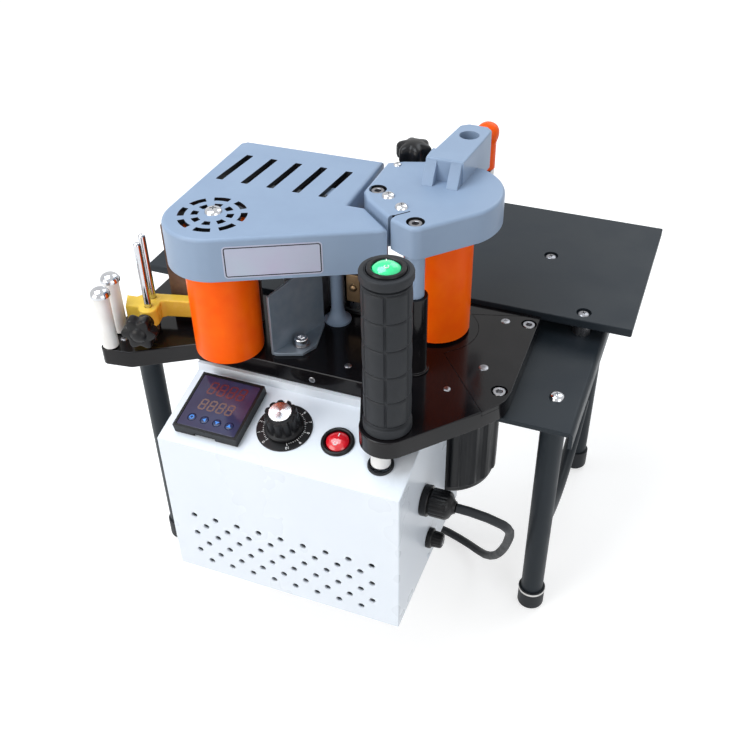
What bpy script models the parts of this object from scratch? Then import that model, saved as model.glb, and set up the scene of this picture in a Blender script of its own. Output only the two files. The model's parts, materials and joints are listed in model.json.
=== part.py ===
"""Bench edge banding machine on a four-legged stand, as separate solids.

Lengths are millimetres in the machine's own frame and become metres when a mesh is made.
Machine frame: X to the right along the control box, Y back towards the workpiece, Z up from
the floor. X = 0 is the right side of the control box and Y = 0 is its front.
"""

import math

import bmesh
import bpy
from mathutils import Matrix, Vector

MM = 0.001
GAP = 0.3
SHARP_ANGLE = math.radians(40)

# Middle of the footprint, which is the world origin.
CENTRE_X = -76.5
CENTRE_Y = 168.5

# Heights above the floor.
BOX_FLOOR = 68.0
PLATE_LOW = 216.0
PLATE_TOP = 229.5
TABLE_TOP = 233.0
ROLLER_LOW = 231.5
LEFT_COVER_TOP = 337.0
RIGHT_COVER_TOP = 343.0

# Control box.
BOX_WIDTH = 177.0
BOX_DEPTH = 140.0
BOX_NOTCH_Y = 103.0
BOX_LEDGE = 24.0
BOX_FRONT = 126.4
BOX_RISE = 14.8
BOX_SLOPE_Y = 61.4
BOX_TOP = PLATE_LOW - GAP - BOX_FLOOR
BOX_WALL = 1.5
SLOPE_ANGLE = math.atan2(BOX_RISE, BOX_SLOPE_Y)

# Rollers, as X and Y of their axes.
ROLLER_RADIUS = 24.0
LEFT_ROLLER = (-152.8, 70.6)
RIGHT_ROLLER = (-23.7, 143.4)
ROLLER_HEIGHT = 92.0

# Gear train from the drive roller to the glue roller.
GEAR_MODULE = 1.6
DRIVE_TEETH = 18
IDLER_TEETH = 24
GLUE_TEETH = 12
GEAR_LOW = 217.2
GEAR_HEIGHT = 5.0
TRAIN_ANGLE = math.radians(173.9)

# Motor.
MOTOR = (-9.0, 144.0)
MOTOR_RADIUS = 37.0
MOTOR_LOW = 98.0
GEARHEAD_LOW = 176.0
GEARHEAD_TOP = 213.2

# Grip.
GRIP = (-19.0, 30.0)
GRIP_RADIUS = 15.0
GRIP_TOP = 346.0
WIRE_BUSH = (-21.0, 22.5)

# Stand.
LEG_RADIUS = 8.7
FOOT_RADIUS = 10.4
FOOT_HEIGHT = 20.0
LEG_RIGHT_X = 74.0
LEG_LEFT_X = -231.0
LEG_TOP = 211.4
LEGS = {
    "front_right": (LEG_RIGHT_X, 111.0),
    "rear_right": (LEG_RIGHT_X, 285.0),
    "front_left": (LEG_LEFT_X, 79.0),
    "rear_left": (LEG_LEFT_X, 285.0),
}
BRACKET_LOW = 211.7
BRACKET_TOP = PLATE_LOW - GAP

# Tables.
TABLE_THICK = 6.5
TABLE_REAR = 337.0
RIGHT_TABLE = (-56.0, 182.0, 111.0)
LEFT_TABLE = (-264.0, 142.0, -150.0)
RIGHT_TABLE_SCREWS = ((74.0, 192.6), (33.5, 263.5))
LEFT_TABLE_SCREWS = ((-245.0, 158.0), (-196.0, 158.0), (-215.0, 263.0))

# Tape guide at the left end.
ROD_ONE = (-214.2, 66.9)
ROD_TWO = (-217.3, 77.9)
ROD_RADIUS = 2.6
ROD_TOP = 304.0
GUIDE_TURN = math.radians(14.0)
GUIDE_LOW = 238.0
GUIDE_TOP = 252.0
TAPE_ROLLERS = {"front": (-232.8, 41.4), "rear": (-237.0, 60.0)}
TAPE_ROLLER_TOP = 272.5

# Power lead.
CORD_DIAMETER = 6.8
GLAND = (0.0, 49.0, 150.4)
FUSE = (63.3, 97.0)
COIL = (-108.0, 205.0)
COIL_MID_RADIUS = 37.5

PARTS = "edge_banding_machine"
CUTTERS = "cutters"


# ---------------------------------------------------------------- scene and materials


def clear_scene():
    for obj in list(bpy.data.objects):
        bpy.data.objects.remove(obj, do_unlink=True)
    for name in (PARTS, CUTTERS):
        bpy.context.scene.collection.children.link(bpy.data.collections.new(name))


def world(x, y, z):
    return Vector(((x - CENTRE_X) * MM, (y - CENTRE_Y) * MM, z * MM))


def material(name, colour, roughness, metallic=0.0):
    made = bpy.data.materials.new(name)
    made.use_nodes = True
    shader = made.node_tree.nodes["Principled BSDF"]
    shader.inputs["Base Color"].default_value = (*colour, 1.0)
    shader.inputs["Roughness"].default_value = roughness
    shader.inputs["Metallic"].default_value = metallic
    return made


def finish(obj, look, collection=PARTS):
    """Puts the object in its collection with a material of its own."""
    for old in list(obj.users_collection):
        old.objects.unlink(obj)
    bpy.data.collections[collection].objects.link(obj)
    if look:
        obj.data.materials.clear()
        obj.data.materials.append(material(obj.name, *look))
    if obj.type == "MESH":
        obj.data.shade_smooth()
        obj.data.set_sharp_from_angle(angle=SHARP_ANGLE)
    return obj


WHITE_PAINT = ((0.86, 0.88, 0.90), 0.35)
BLACK_PAINT = ((0.012, 0.012, 0.014), 0.25)
SLATE_PAINT = ((0.05, 0.06, 0.075), 0.45)
COVER_GREY = ((0.33, 0.41, 0.52), 0.45)
ORANGE = ((0.95, 0.16, 0.02), 0.4)
YELLOW = ((0.85, 0.62, 0.12), 0.5)
BLACK_PLASTIC = ((0.02, 0.02, 0.022), 0.5)
BLACK_RUBBER = ((0.03, 0.03, 0.032), 0.75)
WHITE_PLASTIC = ((0.85, 0.84, 0.80), 0.4)
CHROME = ((0.85, 0.86, 0.88), 0.12, 1.0)
STEEL = ((0.55, 0.56, 0.58), 0.35, 1.0)
ALUMINIUM = ((0.72, 0.73, 0.75), 0.4, 1.0)
BRASS = ((0.72, 0.53, 0.25), 0.35, 1.0)
PHENOLIC = ((0.22, 0.10, 0.05), 0.6)
RED = ((0.65, 0.02, 0.03), 0.25)
GREEN = ((0.02, 0.65, 0.32), 0.2)
BLUE_KEY = ((0.05, 0.12, 0.40), 0.35)


# ---------------------------------------------------------------- modelling helpers


def mesh_object(name, mesh, location, collection=PARTS):
    obj = bpy.data.objects.new(name, mesh)
    obj.location = location
    bpy.data.collections[collection].objects.link(obj)
    return obj


def box(name, low, high, look=None, collection=PARTS):
    """A block between two corners of the machine frame, with its origin at its centre."""
    shape = bmesh.new()
    bmesh.ops.create_cube(shape, size=1.0)
    size = [(b - a) * MM for a, b in zip(low, high)]
    bmesh.ops.scale(shape, vec=size, verts=shape.verts)
    mesh = bpy.data.meshes.new(name)
    shape.to_mesh(mesh)
    shape.free()
    middle = [(a + b) / 2 for a, b in zip(low, high)]
    return finish(mesh_object(name, mesh, world(*middle), collection), look, collection)


def drum(name, centre, radius, low, high, look=None, sides=24, collection=PARTS):
    """An upright cylinder whose origin is on its axis, at its lower end."""
    shape = bmesh.new()
    height = (high - low) * MM
    bmesh.ops.create_cone(
        shape,
        cap_ends=True,
        segments=sides,
        radius1=radius * MM,
        radius2=radius * MM,
        depth=height,
        matrix=Matrix.Translation((0, 0, height / 2)),
    )
    mesh = bpy.data.meshes.new(name)
    shape.to_mesh(mesh)
    shape.free()
    return finish(mesh_object(name, mesh, world(*centre, low), collection), look, collection)


def baked(obj):
    """Turns a curve, or a mesh with modifiers, into a plain closed mesh."""
    bpy.context.view_layer.update()
    graph = bpy.context.evaluated_depsgraph_get()
    mesh = bpy.data.meshes.new_from_object(obj.evaluated_get(graph))
    shape = bmesh.new()
    shape.from_mesh(mesh)
    bmesh.ops.remove_doubles(shape, verts=shape.verts, dist=1e-6)
    bmesh.ops.dissolve_degenerate(shape, edges=shape.edges, dist=1e-7)
    bmesh.ops.recalc_face_normals(shape, faces=shape.faces)
    shape.to_mesh(mesh)
    shape.free()
    made = bpy.data.objects.new("baked", mesh)
    made.matrix_world = obj.matrix_world
    name = obj.name
    for home in obj.users_collection:
        home.objects.link(made)
    bpy.data.objects.remove(obj, do_unlink=True)
    made.name = name
    return made


def turned(name, place, profile, look=None, steps=24, collection=PARTS):
    """A shape of revolution about an upright axis through place.

    The profile is (radius, height) points, and it closes itself unless it ends on the axis.
    """
    points = [Vector((radius * MM, 0, height * MM)) for radius, height in profile]
    mesh = bpy.data.meshes.new(name)
    edges = [(i, i + 1) for i in range(len(points) - 1)]
    if profile[0][0] > 0:
        edges.append((len(points) - 1, 0))
    mesh.from_pydata(points, edges, [])
    obj = mesh_object(name, mesh, place, collection)
    screw = obj.modifiers.new("turn", "SCREW")
    screw.axis = "Z"
    screw.steps = steps
    screw.render_steps = steps
    screw.use_merge_vertices = True
    screw.merge_threshold = 1e-6
    screw.use_normal_calculate = True
    return finish(baked(obj), look, collection)


def outline_curve(name, rings, low, high, collection):
    """A flat curve of closed rings, extruded between two heights."""
    curve = bpy.data.curves.new(name, "CURVE")
    curve.dimensions = "2D"
    curve.fill_mode = "BOTH"
    curve.extrude = (high - low) / 2 * MM
    for ring in rings:
        spline = curve.splines.new("POLY")
        spline.points.add(len(ring) - 1)
        for point, (x, y) in zip(spline.points, ring):
            point.co = (x * MM, y * MM, 0, 1)
        spline.use_cyclic_u = True
    obj = bpy.data.objects.new(name, curve)
    bpy.data.collections[collection].objects.link(obj)
    return obj


def plate(name, ring, low, high, look=None, holes=(), collection=PARTS, about=(0.0, 0.0)):
    """A flat plate with the given outline and holes, between two heights."""
    rings = [[(x - about[0], y - about[1]) for x, y in one] for one in (ring, *holes)]
    obj = outline_curve(name, rings, low, high, collection)
    obj.location = world(about[0], about[1], (low + high) / 2)
    return finish(baked(obj), look, collection)


def tube(name, points, radius, look, resolution=3, collection=PARTS):
    """A round tube through machine-frame points."""
    curve = bpy.data.curves.new(name, "CURVE")
    curve.dimensions = "3D"
    curve.bevel_depth = radius * MM
    curve.bevel_resolution = resolution
    curve.use_fill_caps = True
    spline = curve.splines.new("POLY")
    spline.points.add(len(points) - 1)
    for point, place in zip(spline.points, points):
        point.co = (*world(*place), 1)
    obj = bpy.data.objects.new(name, curve)
    bpy.data.collections[collection].objects.link(obj)
    return finish(obj, look, collection)


def arc(centre, radius, start, end, steps):
    """Points on an arc, with its angles in degrees."""
    angles = [math.radians(start + (end - start) * i / steps) for i in range(steps + 1)]
    return [(centre[0] + radius * math.cos(a), centre[1] + radius * math.sin(a)) for a in angles]


def circle(centre, radius, sides=16):
    return arc(centre, radius, 0, 360 - 360 / sides, sides - 1)


def rounded(corners, steps=3):
    """An outline whose corners (x, y, radius) are rounded by arcs."""
    ring = []
    for i, (x, y, radius) in enumerate(corners):
        here = Vector((x, y))
        if radius == 0:
            ring.append((x, y))
            continue
        before = (Vector(corners[i - 1][:2]) - here).normalized()
        after = (Vector(corners[(i + 1) % len(corners)][:2]) - here).normalized()
        half = before.angle(after) / 2
        centre = here + (before + after).normalized() * (radius / math.sin(half))
        first = here + before * (radius / math.tan(half)) - centre
        last = here + after * (radius / math.tan(half)) - centre
        sweep = first.angle_signed(last)
        for step in range(steps + 1):
            turn = Matrix.Rotation(-sweep * step / steps, 2)
            spot = centre + turn @ first
            ring.append((spot.x, spot.y))
    return ring


def offset(ring, distance):
    """The outline grown by a distance, or shrunk where it is negative, with mitred corners."""
    spots = [Vector(point) for point in ring]
    count = len(spots)
    area = sum(spots[i - 1].cross(spots[i]) for i in range(count))
    side = distance if area > 0 else -distance
    grown = []
    for i in range(count):
        before = (spots[i] - spots[i - 1]).normalized()
        after = (spots[(i + 1) % count] - spots[i]).normalized()
        first = Vector((before.y, -before.x))
        second = Vector((after.y, -after.x))
        corner = spots[i] + (first + second) * (side / (1 + first.dot(second)))
        grown.append((corner.x, corner.y))
    return grown


def moved(ring, centre, angle=0.0):
    """The outline turned by an angle and placed at a centre."""
    c, s = math.cos(angle), math.sin(angle)
    return [(centre[0] + x * c - y * s, centre[1] + x * s + y * c) for x, y in ring]


def carve(obj, tool, operation="DIFFERENCE"):
    """A live Boolean whose tool stays as a hidden wire object."""
    tool.hide_render = True
    tool.display_type = "WIRE"
    step = obj.modifiers.new(operation.lower(), "BOOLEAN")
    step.operation = operation
    step.solver = "EXACT"
    step.object = tool
    return obj


def joined(name, pieces, look=None, collection=PARTS):
    """Several separate solids as one object, in the place of the first."""
    shape = bmesh.new()
    bpy.context.view_layer.update()
    home = pieces[0].matrix_world.copy()
    for piece in pieces:
        part = bmesh.new()
        part.from_mesh(piece.data)
        bmesh.ops.transform(part, matrix=home.inverted() @ piece.matrix_world, verts=part.verts)
        mesh = bpy.data.meshes.new("part")
        part.to_mesh(mesh)
        part.free()
        shape.from_mesh(mesh)
        bpy.data.meshes.remove(mesh)
    mesh = bpy.data.meshes.new(name)
    shape.to_mesh(mesh)
    shape.free()
    obj = mesh_object(name, mesh, (0, 0, 0), collection)
    obj.matrix_world = home
    for piece in pieces:
        bpy.data.objects.remove(piece, do_unlink=True)
    return finish(obj, look, collection)


def tool_drum(name, centre, radius, low, high, sides=16):
    return drum(name, centre, radius, low, high, None, sides, CUTTERS)


def tool_box(name, low, high):
    return box(name, low, high, None, CUTTERS)


def tool_plate(name, ring, low, high):
    return plate(name, ring, low, high, None, (), CUTTERS)


# ---------------------------------------------------------------- base plate and its pieces


def plate_outline():
    lobe = arc(GRIP, 18.5, 186, 318, 6)
    return [
        (-241.0, 141.3),
        (-244.0, 70.0),
        *arc((-235.5, 41.5), 5.0, 180, 270, 2),
        (-217.0, 39.0),
        (-178.0, 63.7),
        (-50.5, 63.9),
        *lobe,
        (34.6, 62.6),
        (43.1, 74.0),
        (45.6, 79.6),
        (46.7, 88.9),
        (45.0, 181.4),
        (-149.7, 181.4),
        (-149.7, 141.3),
    ]


WING_SEAM = ((-8.3, 114.3), (34.0, 62.2))
WING_FLAT_SCREWS = ((22.0, 167.1), (22.3, 108.1))
WING_SOCKET_SCREWS = ((39.0, 169.2), (39.0, 87.3))
WING_THICK = 3.0


def wing_outline():
    """The inlaid wing, whose edge passes round the drive roller along an arc."""
    return [
        *WING_SEAM,
        (34.6, 62.6),
        (43.1, 74.0),
        (45.6, 79.6),
        (46.7, 88.9),
        (45.0, 181.4),
        *arc(RIGHT_ROLLER, 31.0, 50, -50, 8),
    ]


def pitch_radius(teeth):
    return GEAR_MODULE * teeth / 2


def gear_centres():
    """Drive gear, idler and glue gear, in one straight train."""
    drive, idler, glue = [pitch_radius(teeth) for teeth in (DRIVE_TEETH, IDLER_TEETH, GLUE_TEETH)]
    reach = [0.0, drive + idler, drive + 2 * idler + glue]
    direction = (math.cos(TRAIN_ANGLE), math.sin(TRAIN_ANGLE))
    x, y = RIGHT_ROLLER
    return [(x + direction[0] * r, y + direction[1] * r) for r in reach]


def glue_roller_place():
    return gear_centres()[-1]


def base_plate():
    body = plate("base_plate", plate_outline(), PLATE_LOW, PLATE_TOP, BLACK_PAINT)
    rebate_floor = PLATE_TOP - WING_THICK - GAP
    carve(body, tool_plate("wing_rebate", offset(wing_outline(), GAP), rebate_floor, PLATE_TOP + 2))
    for centre, teeth in zip(gear_centres(), (DRIVE_TEETH, IDLER_TEETH, GLUE_TEETH)):
        reach = pitch_radius(teeth) + 3.0
        pocket_top = GEAR_LOW + GEAR_HEIGHT + 1.0
        carve(body, tool_drum("gear_pocket", centre, reach, PLATE_LOW - 2, pocket_top, 16))
    holes = [(RIGHT_ROLLER, 6.5), (glue_roller_place(), 4.5), (LEFT_ROLLER, 5.3)]
    holes += [(place, 3.3) for place in WING_SOCKET_SCREWS]
    holes += [(place, 2.3) for place in WING_FLAT_SCREWS]
    holes += [(ROD_ONE, ROD_RADIUS + GAP), (ROD_TWO, ROD_RADIUS + GAP)]
    holes += [(place, 2.3) for place in TAPE_ROLLERS.values()]
    holes += [(GRIP, 5.0)]
    drills = [tool_drum("drill", place, radius, PLATE_LOW - 3, PLATE_TOP + 3, 10) for place, radius in holes]
    carve(body, joined("base_drills", drills, None, CUTTERS))
    carve(body, bolt_head(LEGS["front_left"], PLATE_TOP), "UNION")
    return body


def cap_screw_cutters(place, seat, top, radius):
    """Cutters that leave a cap screw standing in its counterbore: a ring and a socket."""
    ring = [(radius + 0.9, top + 2), (radius + 0.9, seat), (radius, seat), (radius, top + 2)]
    made = [turned("ring", world(*place, 0), ring, None, 10, CUTTERS)]
    made.append(tool_drum("socket", place, radius * 0.5, top - 1.8, top + 2, 6))
    return made


def cross_cutters(place, top, reach):
    """Two slots of a cross recess."""
    x, y = place
    made = []
    for wide, deep in ((reach, 0.4), (0.4, reach)):
        made.append(tool_box("slot", (x - wide, y - deep, top - 0.9), (x + wide, y + deep, top + 1)))
    return made


def wing_plate():
    """The inlaid wing, with the screws that hold it."""
    low = PLATE_TOP - WING_THICK
    body = plate("wing_plate", wing_outline(), low, PLATE_TOP, BLACK_PAINT)
    cutters = []
    for place in WING_SOCKET_SCREWS:
        cutters += cap_screw_cutters(place, low + 0.8, PLATE_TOP, 4.9)
    carve(body, joined("wing_cap_screws", cutters, None, CUTTERS))
    for place in WING_FLAT_SCREWS:
        for slot in cross_cutters(place, PLATE_TOP, 2.1):
            carve(body, slot)
    return body


def gear_cover():
    """Thin lid that closes the gear pocket from below, with the idler's pin riveted in it."""
    low = BRACKET_TOP - 1.8
    ring = [(-106.0, 118.0), (2.0, 118.0), (2.0, 178.0), (-106.0, 178.0)]
    lid = plate("gear_cover", ring, low, BRACKET_TOP, STEEL, [circle(RIGHT_ROLLER, 7.0, 16)])
    pin = tool_drum("idler_pin", gear_centres()[1], 3.0, low + 0.4, GEAR_LOW + GEAR_HEIGHT + 0.6, 12)
    return carve(lid, pin, "UNION")


# ---------------------------------------------------------------- gears, rollers, motor


def gear_ring(teeth, start):
    """A toothed outline. A tooth is centred on the start angle."""
    pitch = GEAR_MODULE * teeth / 2
    tip = pitch + 0.85 * GEAR_MODULE
    root = pitch - 1.25 * GEAR_MODULE
    step = 2 * math.pi / teeth
    ring = []
    for i in range(teeth):
        middle = start + i * step
        for radius, share in ((root, -0.29), (tip, -0.10), (tip, 0.10), (root, 0.29)):
            angle = middle + share * step
            ring.append((radius * math.cos(angle), radius * math.sin(angle)))
    return ring


def gear(name, index, teeth, start, bore, collection=PARTS):
    centre = gear_centres()[index]
    ring = moved(gear_ring(teeth, start), centre)
    holes = [circle(centre, bore, 16)] if bore else []
    high = GEAR_LOW + GEAR_HEIGHT
    return plate(name, ring, GEAR_LOW, high, STEEL, holes, collection, centre)


def gear_train():
    """The idler shows a gap to each neighbour, which shows it a tooth."""
    back = TRAIN_ANGLE + math.pi
    drive = gear("drive_gear", 0, DRIVE_TEETH, TRAIN_ANGLE, 0, CUTTERS)
    gear("idler_gear", 1, IDLER_TEETH, back + math.pi / IDLER_TEETH, 3.3)
    glue = gear("glue_gear", 2, GLUE_TEETH, back, 0, CUTTERS)
    profile = [(0, 140.0), (4.0, 140.0), (5.0, 138.0), (5.0, 0), (0, 0)]
    shaft = turned("drive_shaft", world(*RIGHT_ROLLER, GEARHEAD_TOP - 18.0), profile, STEEL, 16)
    carve(shaft, drive, "UNION")
    profile = [
        (0, 78.0),
        (4.0, 78.0),
        (4.0, 70.0),
        (11.0, 70.0),
        (11.0, 16.0),
        (4.0, 16.0),
        (4.0, 0.4),
        (0, 0.4),
    ]
    roll = turned("glue_roller", world(*glue_roller_place(), GEAR_LOW), profile, BRASS, 24)
    carve(roll, glue, "UNION")


def roller(side, centre):
    """Elastic sleeve moulded on a flanged core, one piece on its shaft."""
    r = ROLLER_RADIUS
    top = ROLLER_HEIGHT
    bore = 5.3
    profile = [
        (r - 0.8, top),
        (r, top - 0.8),
        (r, 0.8),
        (r - 0.8, 0),
        (bore, 0),
        (bore, top),
        (bore + 5, top),
        (bore + 5, top - 4),
        (r - 5.0, top - 4),
        (r - 5.0, top),
    ]
    turned(f"{side}_feed_roller", world(*centre, ROLLER_LOW), profile, ORANGE, 24)


def left_roller_axle():
    left_pin = [(0, 117.4), (3.0, 117.4), (3.0, 109.0), (5.0, 109.0), (5.0, 0), (0, 0)]
    turned("left_roller_axle", world(*LEFT_ROLLER, PLATE_LOW + 0.2), left_pin, STEEL, 16)


def motor():
    """Gearmotor below the plate: a ribbed can under a plain gearhead."""
    ribs = []
    count = 16
    for i in range(count):
        root = MOTOR_RADIUS - 1.6
        for radius, share in ((root, -0.30), (MOTOR_RADIUS, -0.16), (MOTOR_RADIUS, 0.16), (root, 0.30)):
            angle = 2 * math.pi * (i + share) / count
            ribs.append((MOTOR[0] + radius * math.cos(angle), MOTOR[1] + radius * math.sin(angle)))
    can = plate("drive_motor", ribs, MOTOR_LOW + 6.0, GEARHEAD_LOW, BLACK_PAINT, about=MOTOR)
    end_radius = MOTOR_RADIUS - 2.2
    profile = [(0, 7.0), (end_radius, 7.0), (end_radius, 3.0), (MOTOR_RADIUS - 7.0, 0), (0, 0)]
    end = turned("motor_end", world(*MOTOR, MOTOR_LOW), profile, None, 16, CUTTERS)
    carve(can, end, "UNION")
    gearhead = tool_drum("gearhead", MOTOR, MOTOR_RADIUS - 0.7, GEARHEAD_LOW - 1.0, GEARHEAD_TOP, 20)
    carve(can, gearhead, "UNION")
    bore = tool_drum("output_bore", RIGHT_ROLLER, 5.6, GEARHEAD_TOP - 20.0, GEARHEAD_TOP + 5, 16)
    carve(can, bore)


# ---------------------------------------------------------------- glue pot and tape path


POT_LOW = PLATE_TOP + GAP
POT_TOP = 300.0


def glue_pot():
    """Cast pot whose well feeds the knurled roller that stands in its open mouth."""
    x, y = glue_roller_place()
    ring = rounded(
        [
            (-136.0, 164.0, 4),
            (-136.0, 122.0, 6),
            (-107.0, 122.0, 3),
            (-107.0, 141.0, 0),
            (-72.0, 141.0, 0),
            (-72.0, 164.0, 4),
        ]
    )
    pot = plate("glue_pot", ring, POT_LOW, POT_TOP, ALUMINIUM)
    carve(pot, tool_drum("roller_bay", (x, y), 12.2, POT_LOW + 2.0, POT_TOP + 1, 24))
    carve(pot, tool_drum("roller_neck", (x, y), 5.0, POT_LOW - 1, POT_LOW + 4, 16))
    carve(pot, tool_box("well", (-131.0, 127.0, POT_LOW + 10), (-112.0, 159.5, POT_TOP + 2)))
    carve(pot, tool_box("feed_slot", (-114.0, 149.0, POT_LOW + 14), (x - 6, 155.0, POT_TOP - 10)))
    carve(pot, tool_drum("heater_bore", HEATER, 2.0, POT_LOW + 6, POT_TOP + 1, 10))
    return pot


HEATER = (-109.8, 130.0)


def heater():
    """Cartridge heater in the pot's bore."""
    profile = [(0, 70.0), (0.9, 70.0), (0.9, 64.0), (1.7, 64.0), (1.7, 0), (0, 0)]
    turned("heater", world(*HEATER, POT_LOW + 6.4), profile, STEEL, 10)


GUIDE_SCREW = (-105.0, 87.0)


def tape_guide_plate():
    """Bent sheet with a vertical face and a foot tab held by a cap screw."""
    low = PLATE_TOP + GAP
    start = Vector((-119.0, 74.8))
    end = Vector((-101.2, 117.3))
    along = (end - start).normalized()
    side = Vector((along.y, -along.x))
    thick = 2.2
    reach = (end - start).length
    face = [(0, 0), (reach, 0), (reach, 92), (18, 92), (0, 68)]
    wall = outline_curve("tape_guide_plate", [face], -thick / 2, thick / 2, PARTS)
    wall.location = world(start.x, start.y, low)
    wall.rotation_euler = (math.radians(90), 0, math.atan2(along.y, along.x))
    wall = finish(baked(wall), COVER_GREY)
    tab_ring = [
        tuple(start - side * 0.6),
        (-117.0, 72.8),
        (-100.0, 77.6),
        (-94.6, 88.9),
        (-100.2, 117.0),
        tuple(end - side * 0.6),
    ]
    tab = plate("guide_tab", tab_ring, low, low + 2.4, None, (), CUTTERS)
    carve(wall, tab, "UNION")
    screw = [
        (0, 6.0),
        (2.5, 6.0),
        (2.5, 8.4),
        (4.6, 8.4),
        (5.0, 7.9),
        (5.0, 3.6),
        (6.0, 3.6),
        (6.0, 2.0),
        (0, 2.0),
    ]
    carve(wall, turned("guide_screw", world(*GUIDE_SCREW, low), screw, None, 16, CUTTERS), "UNION")
    return wall


def tape_board():
    """Brown phenolic board that the tape runs along."""
    ring = moved([(0, 0), (56.0, 0), (56.0, 3.0), (0, 3.0)], (-198.5, 93.0), math.radians(14.0))
    plate("tape_board", ring, PLATE_TOP + GAP, 306.0, PHENOLIC)


def tape_rods():
    for name, place in (("tape_rod_front", ROD_ONE), ("tape_rod_rear", ROD_TWO)):
        height = ROD_TOP - PLATE_LOW - 1.0
        profile = [(0, height), (1.6, height - 0.4), (ROD_RADIUS, height - 2.4), (ROD_RADIUS, 0), (0, 0)]
        turned(name, world(*place, PLATE_LOW + 1.0), profile, CHROME, 16)


def guide_frame(x, y):
    """A point given along and across the tape guide, about its front rod."""
    return moved([(x, y)], ROD_ONE, GUIDE_TURN)[0]


def tape_guide_block():
    """Yellow block that slides on the two rods and carries the tape at its height."""
    hub = (0.0, 5.5)
    ring = [
        (-20.0, 13.0),
        (-16.6, -1.0),
        (-7.0, -1.0),
        *arc((0.0, -1.0), 7.0, 180, 262, 3)[1:],
        *arc((0.0, -1.0), 7.0, 278, 360, 3)[:-1],
        (7.0, 6.0),
        (10.0, 8.0),
        (32.0, 8.0),
        (32.0, 17.0),
        (-7.0, 17.0),
        (-12.0, 12.0),
    ]
    ring = moved(ring, ROD_ONE, GUIDE_TURN)
    holes = [circle(ROD_ONE, ROD_RADIUS + GAP, 16), circle(ROD_TWO, ROD_RADIUS + GAP, 16)]
    block = plate("tape_guide_block", ring, GUIDE_LOW, GUIDE_TOP, YELLOW, holes, about=guide_frame(*hub))
    middle = (GUIDE_LOW + GUIDE_TOP) / 2
    hole = [(0, 8), (1.9, 8), (1.9, 0), (0, 0)]
    stud = turned("stud_hole", world(*guide_frame(0.0, -5.4), middle), hole, None, 12, CUTTERS)
    stud.rotation_euler = (math.radians(90), 0, GUIDE_TURN)
    carve(block, stud)
    return block


def star_ring(radius, lobes, dip):
    """A lobed outline for a star knob."""
    count = lobes * 4
    ring = []
    for i in range(count):
        angle = 2 * math.pi * i / count
        swell = radius - dip * (1 - math.cos(lobes * angle)) / 2
        ring.append((swell * math.cos(angle), swell * math.sin(angle)))
    return ring


def guide_clamp_knob():
    """Star knob on a stud that clamps the yellow block to its front rod."""
    profile = [
        (0, 20.0),
        (4.6, 19.2),
        (6.2, 17.0),
        (6.2, 0),
        (1.6, 0),
        (1.6, -3.0),
        (0, -3.0),
    ]
    knob = turned("guide_clamp_knob", (0, 0, 0), profile, BLACK_PLASTIC, 12)
    star = outline_curve("star", [star_ring(13.0, 6, 3.4)], -5.0, 5.0, CUTTERS)
    star.location = (0, 0, 12.5 * MM)
    carve(knob, baked(star), "UNION")
    knob = baked(knob)
    knob.rotation_euler = (math.radians(90), 0, GUIDE_TURN)
    knob.location = world(*guide_frame(0.0, -9.0), (GUIDE_LOW + GUIDE_TOP) / 2)
    return knob


def tape_rollers():
    """White rollers that turn on steel pins with domed heads."""
    for side, place in TAPE_ROLLERS.items():
        low = PLATE_TOP + 1.0
        body = [(5.6, TAPE_ROLLER_TOP - low), (5.6, 0), (2.4, 0), (2.4, TAPE_ROLLER_TOP - low)]
        turned(f"tape_roller_{side}", world(*place, low), body, WHITE_PLASTIC, 20)
        pin = PLATE_LOW + 2.0
        seat = TAPE_ROLLER_TOP + GAP - pin
        profile = [
            (0, seat + 7.2),
            (2.4, seat + 7.0),
            (4.6, seat + 5.6),
            (6.2, seat + 2.6),
            (6.5, seat),
            (2.1, seat),
            (2.1, 0),
            (0, 0),
        ]
        turned(f"tape_roller_pin_{side}", world(*place, pin), profile, CHROME, 16)


# ---------------------------------------------------------------- covers and posts


LEFT_SKIRT = 31.0
RIGHT_SKIRT = 22.0
COVER_WALL = 3.0
NOSE = (-151.6, 67.0)
NOSE_RADIUS = 32.5
LEFT_COVER_POST = (-94.0, 127.0)
POST_FRONT = (-23.0, 91.5)
POST_REAR = (-60.2, 124.1)


def left_cover_outline():
    """Cover over the tape side: a round nose, a slanted front and a stepped right side."""
    return [
        (-184.1, 169.0),
        *arc(NOSE, NOSE_RADIUS, 180, 297, 8),
        (-43.2, 84.2),
        (-40.2, 87.6),
        (-63.0, 108.6),
        (-75.2, 108.6),
        (-75.2, 175.0),
        (-180.0, 173.0),
    ]


def ring_sector(centre, inner, outer, start, end, steps):
    return arc(centre, outer, start, end, steps) + arc(centre, inner, end, start, steps)


def left_cover_vents():
    """Five long slots and the round vent's eight outer and eight inner openings."""
    low, high = LEFT_COVER_TOP - 6, LEFT_COVER_TOP + 4
    tools = []
    for i in range(5):
        x = -168.9 + 19.0 * i
        ring = [(x - 4.2, 112.0), (x - 0.6, 112.0), (x + 3.2, 152.0), (x - 0.4, 152.0)]
        tools.append(tool_plate("vent", ring, low, high))
    for i in range(8):
        middle = 45.0 * i + 10
        outer = ring_sector(NOSE, 18.2, 22.6, middle - 15, middle + 15, 2)
        inner = ring_sector(NOSE, 9.5, 14.0, middle - 12, middle + 12, 1)
        tools.append(tool_plate("vent", outer, low, high))
        tools.append(tool_plate("vent", inner, low, high))
    return joined("left_cover_vents", tools, None, CUTTERS)


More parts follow.
